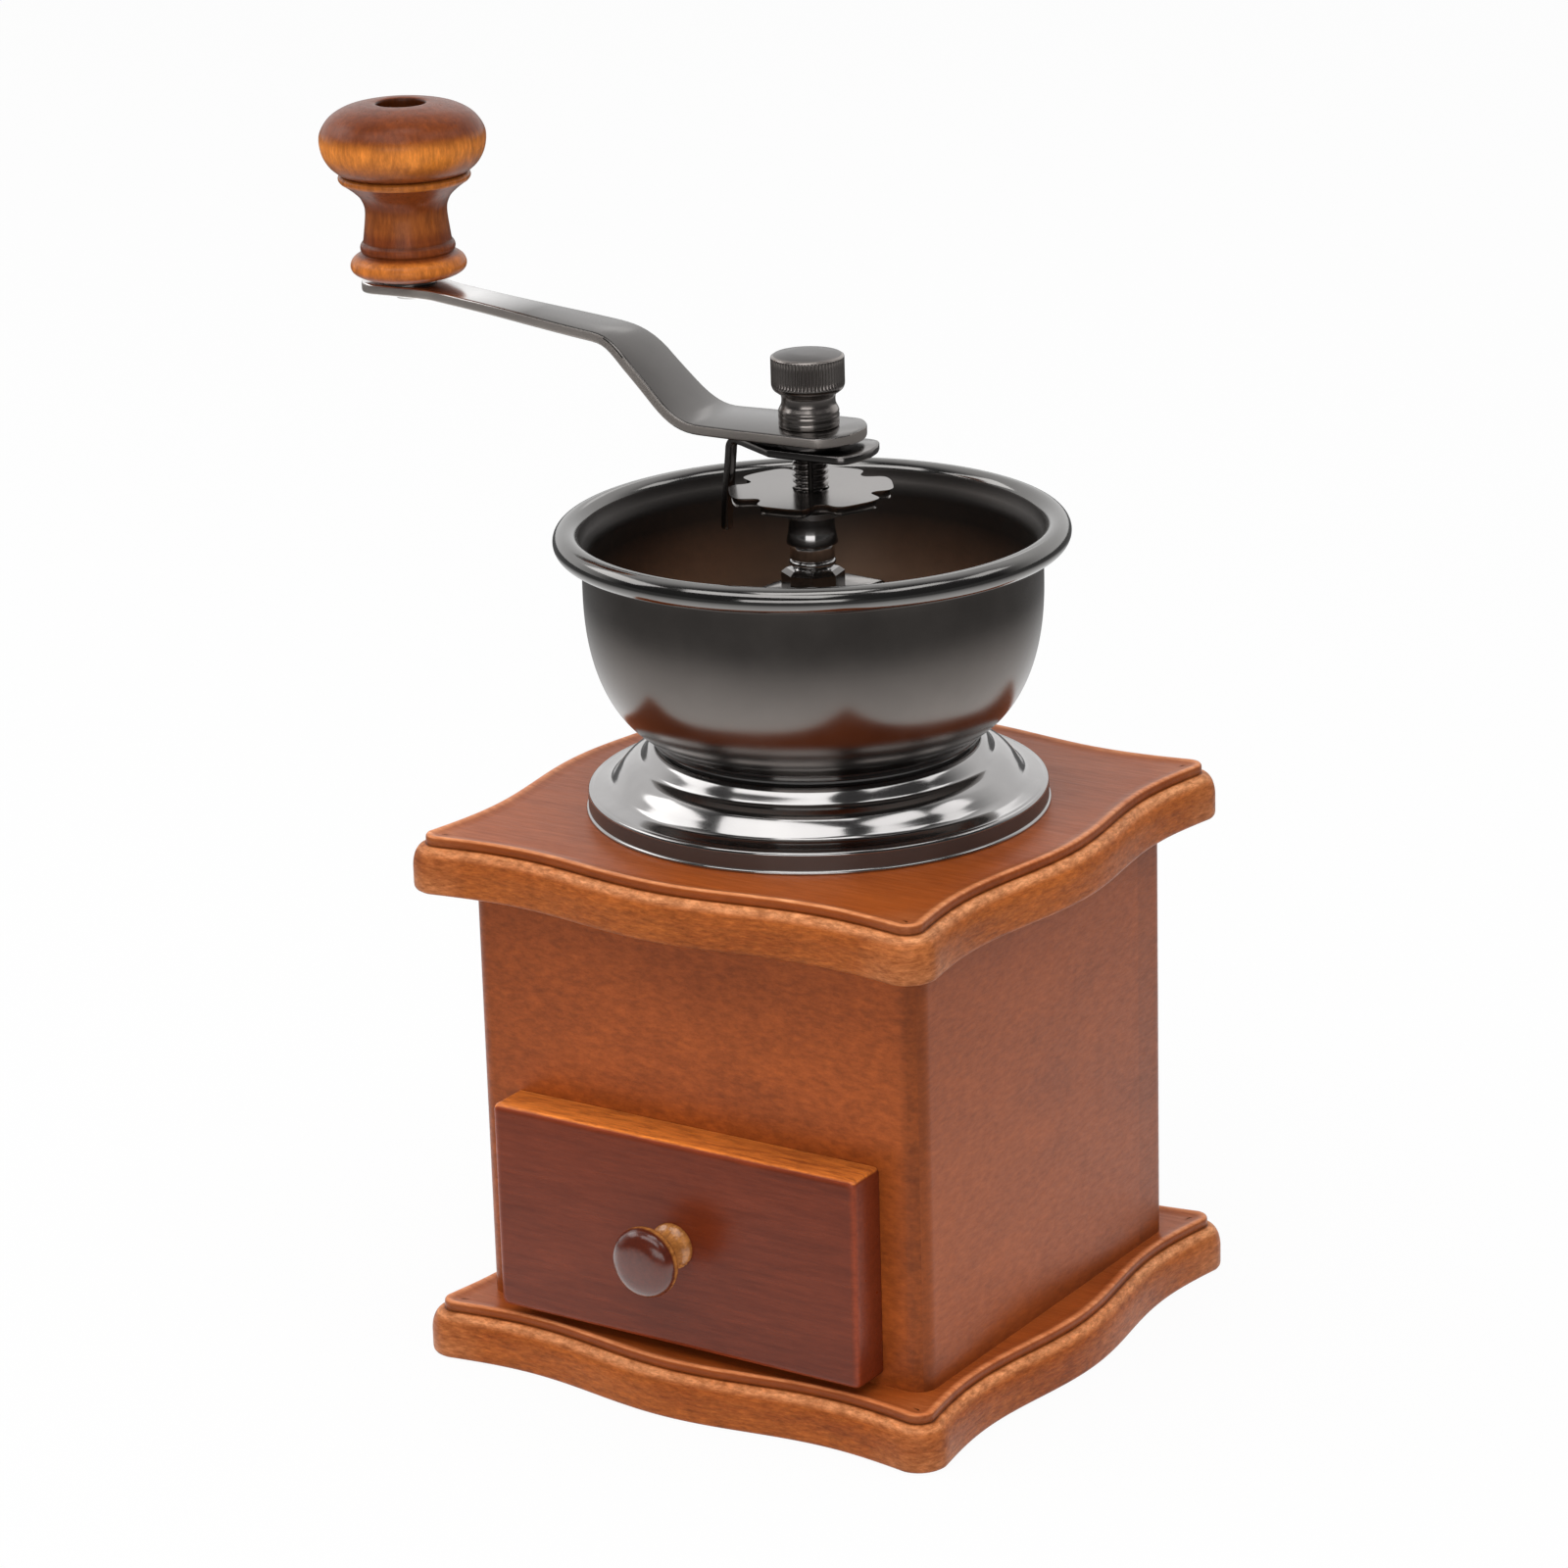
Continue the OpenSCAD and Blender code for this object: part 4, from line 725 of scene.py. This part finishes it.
spring = helix(93.58, 127.42, 5.7, 0.5, 9)
spring = keep(spring, "burr_spring_wound", None, spring_steel, ("burr_spring",), sharp=60)
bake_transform(spring)


# Crank: a bent bar with rounded edges

def crank_slopes():
    """Rise of the crank at each tenth of a millimetre, with two soft bends and a flat end."""
    total, rises = 0.0, []
    for k in range(900):
        x = k / 10
        bend = 0.95 * smooth(x, 16.0, 25.5) * (1 - smooth(x, 29.0, 38.5))
        rises.append(total)
        total += (bend + 0.118 * smooth(x, 30.0, 38.5) * (1 - smooth(x, 70.0, 75.0))) / 10
    return [CRANK_RISE * rise / total for rise in rises]


CRANK_RISE = 17.5
crank_rises = crank_slopes()


def crank_rise(x):
    k = max(0.0, min(898.0, x * 10))
    i = int(k)
    return crank_rises[i] + (crank_rises[i + 1] - crank_rises[i]) * (k - i)


def crank_half(x):
    """Half width of the crank at a distance from the spindle."""
    if x < -4.5:
        ring = math.sqrt(max(0.0, 9.45 ** 2 - x * x))
        return -math.log(math.exp(-4 * ring) + math.exp(-4 * 7.75)) / 4 if ring > 6.5 else ring
    if x > CRANK_L + 3.6:
        return math.sqrt(max(0.0, 5.1 ** 2 - (x - CRANK_L - 3.6) ** 2))
    marks = [(-4.5, 7.73), (8.3, 7.6), (20.5, 7.1), (30.0, 6.45), (37.5, 4.9), (61.8, 3.9), (68.8, 3.9), (73.8, 4.95),
             (CRANK_L + 3.6, 5.1)]
    for (x0, w0), (x1, w1) in zip(marks, marks[1:]):
        if x <= x1:
            t = (x - x0) / (x1 - x0)
            return w0 + (w1 - w0) * t * t * (3 - 2 * t)
    return 5.1


def crank_piece():
    bm = bmesh.new()
    ends = [-9.45 * math.cos(math.radians(a)) for a in range(3, 63, 3)]
    tail = [CRANK_L + 3.6 + 5.1 * math.sin(math.radians(a)) for a in range(3, 88, 6)]
    xs = ends + [-4.2 + 1.05 * k for k in range(79)]
    xs = [x for x in xs if x < tail[0] - 0.4] + tail
    round_r = 0.42
    half_t = CRANK_T / 2
    rings = []
    for x in xs:
        w = crank_half(x)
        slope = (crank_rise(x + 0.3) - crank_rise(x - 0.3)) / 0.6
        lean = math.atan(slope)
        mid = crank_rise(x) + HUB_TOP - half_t / math.cos(lean)
        r = min(round_r, w * 0.9)
        ring = []
        for sy, sz, start in ((1, -1, -90), (1, 1, 0), (-1, 1, 90), (-1, -1, 180)):
            for k in range(4):
                a = math.radians(start + 30 * k)
                y = sy * (w - r) + r * math.cos(a)
                h = sz * (half_t - r) + r * math.sin(a)
                ring.append(bm.verts.new((x - h * math.sin(lean), y, mid + h * math.cos(lean))))
        rings.append(ring)
    bridge_rings(bm, rings)
    bm.faces.new(rings[0])
    bm.faces.new(rings[-1])
    place(bm, crank_turn)
    piece = keep(bm, "crank_bar", "spindle", arm_metal_highlight, ("crank_arm",), sharp=50)
    paint(piece, arm_side, lambda middle, normal: abs(normal.z) < 0.3)
    return piece


crank_piece()


# Adjusting wheel with hooked teeth, and the lock plate over it

def extruded(outline, bore, steps):
    """Flat plate round a bore. The outline runs clockwise, and each step is an inset along its normals and a height."""
    bm = bmesh.new()
    count = len(outline)
    normals = []
    for i in range(count):
        (x0, y0), (x1, y1) = outline[i - 1], outline[(i + 1) % count]
        long = math.hypot(x1 - x0, y1 - y0)
        normals.append(((y0 - y1) / long, (x1 - x0) / long))
    rings = [[bm.verts.new((x - inset * nx, y - inset * ny, z)) for (x, y), (nx, ny) in zip(outline, normals)]
             for inset, z in steps]
    bridge_rings(bm, rings)
    inner = [[bm.verts.new((x, y, z)) for x, y in bore] for z in (steps[0][1], steps[-1][1])]
    bridge_rings(bm, inner)
    fill_between(bm, [rings[0], inner[0]])
    fill_between(bm, [rings[-1], inner[1]])
    return bm


def absorb(bm, other):
    """Adds another bmesh to this one."""
    mesh = bpy.data.meshes.new("part")
    other.to_mesh(mesh)
    other.free()
    bm.from_mesh(mesh)
    bpy.data.meshes.remove(mesh)


def wheel_outline():
    """One tooth every 60 degrees: a hooked corner on one side, a swept flank on the other."""
    tooth = [(29.0, 10.0), (25.0, 10.3), (22.0, 10.9), (19.5, 11.8), (17.5, 12.6), (15.0, 12.9), (8.0, 12.9),
             (0.0, 12.75), (-8.0, 12.75), (-13.0, 12.8), (-16.0, 12.6), (-18.0, 12.1), (-20.0, 11.2), (-23.0, 10.5),
             (-27.0, 10.1)]
    points = []
    for i in range(6):
        for angle, r in tooth:
            a = math.radians(40 - 60 * i + angle)
            points.append((r * math.cos(a), r * math.sin(a)))
    return [p for p in flowing(points + [points[0]], 3)[:-1]][::-1]


def round_bore(r, count=48):
    return [(r * math.cos(2 * math.pi * i / count), r * math.sin(2 * math.pi * i / count)) for i in range(count)]


wheel_low, wheel_high = 144.2, 145.8
wheel = extruded(wheel_outline(), round_bore(3.02), [
    (0.25, wheel_low), (0.0, wheel_low + 0.12), (0.22, wheel_low + 0.4), (0.25, wheel_high - 0.45),
    (0.35, wheel_high - 0.2), (0.55, wheel_high - 0.04), (0.75, wheel_high)])
absorb(wheel, lathe([(3.02, 142.4), (4.15, 142.4), (4.3, 142.55), (4.3, 144.22), (3.02, 144.22)], 64, closed=True))
keep(wheel, "adjusting_wheel_cut", "wheel", bright_nickel, ("adjusting_wheel",), sharp=30)


# Lock plate: a rounded end, straight sides, a taper and the bent finger between two teeth

def rounded(corners, radius, steps=5):
    """Closed outline through corners, each rounded by its own radius."""
    out = []
    count = len(corners)
    for i, (x, y) in enumerate(corners):
        r = radius[i]
        if not r:
            out.append((x, y))
            continue
        ends = []
        for nx, ny in (corners[i - 1], corners[(i + 1) % count]):
            long = math.hypot(nx - x, ny - y)
            ends.append((x + (nx - x) * r / long, y + (ny - y) * r / long))
        for k in range(steps + 1):
            t = k / steps
            out.append(tuple((1 - t) ** 2 * a + 2 * t * (1 - t) * m + t * t * b
                             for a, m, b in zip(ends[0], (x, y), ends[1])))
    return out


def lock_piece():
    low, high, edge = 151.9, 153.35, 0.3
    tail = [(-11.5 * math.cos(math.radians(a)), -11.5 * math.sin(math.radians(a))) for a in (28, 14, 0, -14, -28)]
    corners = ([(13.6, 1.0), (13.6, -1.0), (12.6, -1.35), (4.4, -6.4), (-9.7, -6.4)]
               + tail[1:-1] + [(-9.7, 6.4), (4.4, 6.4), (12.6, 1.35)])
    radius = [0.3, 0.3, 0.5, 0.3, 1.7, 0, 0, 0, 1.7, 0.3, 0.5]
    outline = rounded(corners, radius)
    key = [(2.52 if abs(3.05 * math.cos(math.radians(a))) > 2.52 else abs(3.05 * math.cos(math.radians(a))))
           for a in range(0, 360, 9)]
    bore = [(math.copysign(k, math.cos(math.radians(a))), 3.05 * math.sin(math.radians(a)))
            for k, a in zip(key, range(0, 360, 9))]
    bm = extruded(outline, bore, [(edge, low), (0.0, low + edge), (0.0, high - edge), (0.12, high - 0.1), (edge + 0.05, high)])
    absorb(bm, lathe([(4.0, high - 0.05), (5.6, high - 0.05), (5.6, high + 0.8), (5.3, high + 1.1), (4.0, high + 1.1)], 64,
                     closed=True))
    finger = bmesh.new()
    path = flowing([(12.4, 152.62), (13.5, 152.6), (14.3, 152.3), (14.7, 151.5), (14.85, 150.2), (15.3, 146.0),
                    (15.75, 141.5), (16.0, 137.6)], 5)
    sections = []
    for i, (x, z) in enumerate(path):
        (xa, za), (xb, zb) = path[max(i - 1, 0)], path[min(i + 1, len(path) - 1)]
        long = math.hypot(xb - xa, zb - za)
        nx, nz = (zb - za) / long, -(xb - xa) / long
        sections.append((x, z, nx, nz, 1.0))
    x, z, nx, nz, _ = sections[-1]
    for k in range(1, 5):
        a = math.radians(21 * k)
        sections.append((x - nz * 0.75 * math.sin(a), z + nx * 0.75 * math.sin(a), nx, nz, math.cos(a)))
    rings = []
    for x, z, nx, nz, size in sections:
        ring = []
        for sy, sn, start in ((1, -1, -90), (1, 1, 0), (-1, 1, 90), (-1, -1, 180)):
            for k in range(4):
                a = math.radians(start + 30 * k)
                y = (sy * 0.85 + 0.3 * math.cos(a)) * size
                n = (sn * 0.3 + 0.3 * math.sin(a)) * (0.4 + 0.6 * size)
                ring.append(finger.verts.new((x + n * nx, y, z + n * nz)))
        rings.append(ring)
    bridge_rings(finger, rings)
    finger.faces.new(rings[0])
    finger.faces.new(rings[-1])
    absorb(bm, finger)
    place(bm, crank_turn)
    return keep(bm, "lock_plate_bent", "spindle", gunmetal, ("lock_plate",), sharp=40)


lock_piece()


# Thumb nut with straight knurling round its grip

def knurl(a, r, z):
    local = z - 156.35
    if not 6.8 < local < 11.4:
        return r
    fade = min(1.0, (local - 6.8) / 0.3, (11.4 - local) / 0.3)
    return r - 0.26 * fade * (0.5 - 0.5 * math.cos(62 * a))


nut_line = (
    [(3.1, 0.0), (4.85, 0.0)]
    + flowing([(4.98, 0.15), (5.02, 0.7), (4.96, 1.05), (5.0, 1.45), (5.03, 1.8), (4.96, 2.15), (5.0, 2.5), (4.9, 2.85),
               (4.7, 3.25), (4.5, 3.7), (4.42, 4.3), (4.45, 4.9), (4.6, 5.3), (5.2, 5.75), (5.75, 6.2), (6.0, 6.8)], 4)
    + [(6.04, 7.15), (6.04, 8.0), (6.04, 9.0), (6.04, 10.0), (6.04, 11.0), (6.04, 11.4), (5.98, 11.55), (5.6, 11.8)]
    + flowing([(5.3, 11.85), (4.2, 12.1), (2.6, 12.33), (0.0, 12.4)], 5))
nut = lathe([(r, z + 156.35) for r, z in nut_line], 496, radius=knurl)
nut = keep(nut, "thumb_nut_knurled", "nut", nut_metal, ("thumb_nut",), sharp=55)
paint(nut, nut_top, lambda middle, normal: middle.z > 156.35 + 11.82)


# CAD nodes that stay: eased edges and a finish of their own

def dress(node, material, bevel=0.0):
    piece = nodes[node]
    piece.data.materials.clear()
    piece.data.materials.append(material)
    for polygon in piece.data.polygons:
        polygon.use_smooth = True
    weld = piece.modifiers.new("weld", "WELD")
    weld.merge_threshold = 0.000002
    if bevel:
        ease = piece.modifiers.new("ease", "BEVEL")
        ease.width = bevel * MM
        ease.segments = 2
        ease.limit_method = "ANGLE"
        ease.angle_limit = math.radians(40)
    split = piece.modifiers.new("split", "EDGE_SPLIT")
    split.split_angle = math.radians(32)


dress("front_panel", wood_front)
dress("back_panel", wood_back)
for name in ("left_panel", "right_panel"):
    dress(name, wood_side)
for name in ("left_runner", "right_runner", "drawer_left", "drawer_right", "top_dowels"):
    dress(name, wood_plain_y)
for name in ("drawer_back", "drawer_bottom"):
    dress(name, wood_plain_x)
for name in ("burr_housing", "ring_burr", "bottom_bearing", "cone_burr"):
    dress(name, iron)
for name in ("base_screws", "bridge_screws", "bowl_screws", "housing_screws", "bearing_screws", "thrust_washer",
             "drive_pin", "burr_clip", "spring_seat", "knob_screw", "drawer_screw"):
    dress(name, steel)
dress("knob_washer", gunmetal)
dress("bearing_bridge", bright_nickel, 0.25)


# Stage, light and camera

VIEW = (0.545, -0.839, 0.0)


def towards_view(tree, vector, low, high):
    """Share that grows as a direction or place turns from the back of the studio to its front."""
    dot = tree.nodes.new("ShaderNodeVectorMath")
    dot.operation = "DOT_PRODUCT"
    tree.links.new(vector, dot.inputs[0])
    dot.inputs[1].default_value = VIEW
    share = tree.nodes.new("ShaderNodeMapRange")
    share.interpolation_type = "SMOOTHSTEP"
    tree.links.new(dot.outputs["Value"], share.inputs["Value"])
    share.inputs["From Min"].default_value = low
    share.inputs["From Max"].default_value = high
    return share


def floor():
    bm = bmesh.new()
    bmesh.ops.create_grid(bm, x_segments=4, y_segments=4, size=6)
    mesh = bpy.data.meshes.new("floor")
    bm.to_mesh(mesh)
    bm.free()
    plane = bpy.data.objects.new("floor", mesh)
    scene.collection.objects.link(plane)
    t = Tree("floor")
    t.shader.inputs["Base Color"].default_value = (0.94, 0.94, 0.94, 1)
    t.shader.inputs["Roughness"].default_value = 0.9
    glow = t.add("ShaderNodeEmission")
    rays = t.add("ShaderNodeLightPath")
    seen = t.math("MAXIMUM", rays.outputs["Is Camera Ray"], rays.outputs["Is Transmission Ray"])
    away = t.add("ShaderNodeVectorMath", operation="ADD")
    t.link(t.object_coords, away.inputs[0])
    away.inputs[1].default_value = tuple(0.05 * v for v in VIEW)
    far = t.add("ShaderNodeVectorMath", operation="LENGTH")
    t.link(away.outputs["Vector"], far.inputs[0])
    fall = t.spread(far.outputs["Value"], 0.13, 0.43, 1.35, 0.1)
    mirrored = t.math("MULTIPLY", fall, rays.outputs["Is Glossy Ray"])
    t.link(t.math("MAXIMUM", seen, mirrored), glow.inputs["Strength"])
    share = t.math("MAXIMUM", t.math("MULTIPLY", seen, 0.94), t.math("MULTIPLY", rays.outputs["Is Glossy Ray"], 0.95))
    mix = t.add("ShaderNodeMixShader")
    t.link(share, mix.inputs[0])
    t.link(t.shader.outputs[0], mix.inputs[1])
    t.link(glow.outputs[0], mix.inputs[2])
    t.link(mix.outputs[0], t.tree.nodes["Material Output"].inputs["Surface"])
    mesh.materials.append(t.material)


def lamp(name, azimuth, elevation, width, height, level):
    """Softbox 1.5 m from the bowl, as wide and high as given, with the same level over its whole face."""
    a, e = math.radians(azimuth), math.radians(elevation)
    aim = Vector((0, 0, 0.09))
    outward = Vector((math.cos(a) * math.cos(e), math.sin(a) * math.cos(e), math.sin(e)))
    data = bpy.data.lights.new(name, "AREA")
    data.shape = "RECTANGLE"
    data.size, data.size_y = width, height
    data.energy = level * math.pi * width * height
    thing = bpy.data.objects.new(name, data)
    scene.collection.objects.link(thing)
    thing.location = aim + outward * 1.5
    thing.rotation_mode = "QUATERNION"
    thing.rotation_quaternion = (-outward).to_track_quat("-Z", "Y")


def world():
    """White to the camera, an even level for diffuse light, and for reflections white with a dim front."""
    sky = bpy.data.worlds.new("studio")
    sky.use_nodes = True
    tree = sky.node_tree
    background = tree.nodes["Background"]
    rays = tree.nodes.new("ShaderNodeLightPath")
    coords = tree.nodes.new("ShaderNodeTexCoord")
    dim = towards_view(tree, coords.outputs["Generated"], -0.65, 0.05)
    dim.inputs["To Min"].default_value = 1.0
    dim.inputs["To Max"].default_value = 0.06
    mirrored = tree.nodes.new("ShaderNodeMix")
    tree.links.new(rays.outputs["Is Glossy Ray"], mirrored.inputs["Factor"])
    mirrored.inputs["A"].default_value = 0.5
    tree.links.new(dim.outputs["Result"], mirrored.inputs["B"])
    direct = tree.nodes.new("ShaderNodeMath")
    direct.operation = "MAXIMUM"
    tree.links.new(rays.outputs["Is Camera Ray"], direct.inputs[0])
    tree.links.new(rays.outputs["Is Transmission Ray"], direct.inputs[1])
    level = tree.nodes.new("ShaderNodeMix")
    tree.links.new(direct.outputs[0], level.inputs["Factor"])
    tree.links.new(mirrored.outputs["Result"], level.inputs["A"])
    level.inputs["B"].default_value = 1.0
    tree.links.new(level.outputs["Result"], background.inputs["Strength"])
    background.inputs["Color"].default_value = (1, 1, 1, 1)
    scene.world = sky


def camera():
    azimuth, elevation = math.radians(33.0), math.radians(18.7)
    back = Vector((math.sin(azimuth) * math.cos(elevation), -math.cos(azimuth) * math.cos(elevation),
                   math.sin(elevation)))
    aim = Vector((0, 0, 0.0857))
    data = bpy.data.cameras.new("camera")
    data.lens = 121.2
    data.sensor_width = 36
    data.shift_x = -0.023
    data.shift_y = 0.0327
    thing = bpy.data.objects.new("camera", data)
    scene.collection.objects.link(thing)
    thing.location = aim + back * 0.883
    thing.rotation_mode = "QUATERNION"
    level = (-back).to_track_quat("-Z", "Y")
    thing.rotation_quaternion = level @ Matrix.Rotation(math.radians(-1.53), 4, "Z").to_quaternion()
    scene.camera = thing


floor()
lamp("key", -88, 55, 1.5, 0.6, 2.3)
lamp("overhead", -60, 80, 0.75, 0.5, 2.6)
lamp("right", 2, 54, 0.7, 0.4, 1.9)
lamp("far_right", 38, 40, 0.5, 0.4, 1.7)
lamp("left", -163, 35, 1.0, 0.55, 2.2)
lamp("low", -66, 12, 1.2, 0.45, 2.1)
lamp("rear", 116, 30, 0.35, 0.2, 0.8)
world()
camera()
scene.view_settings.view_transform = "Standard"
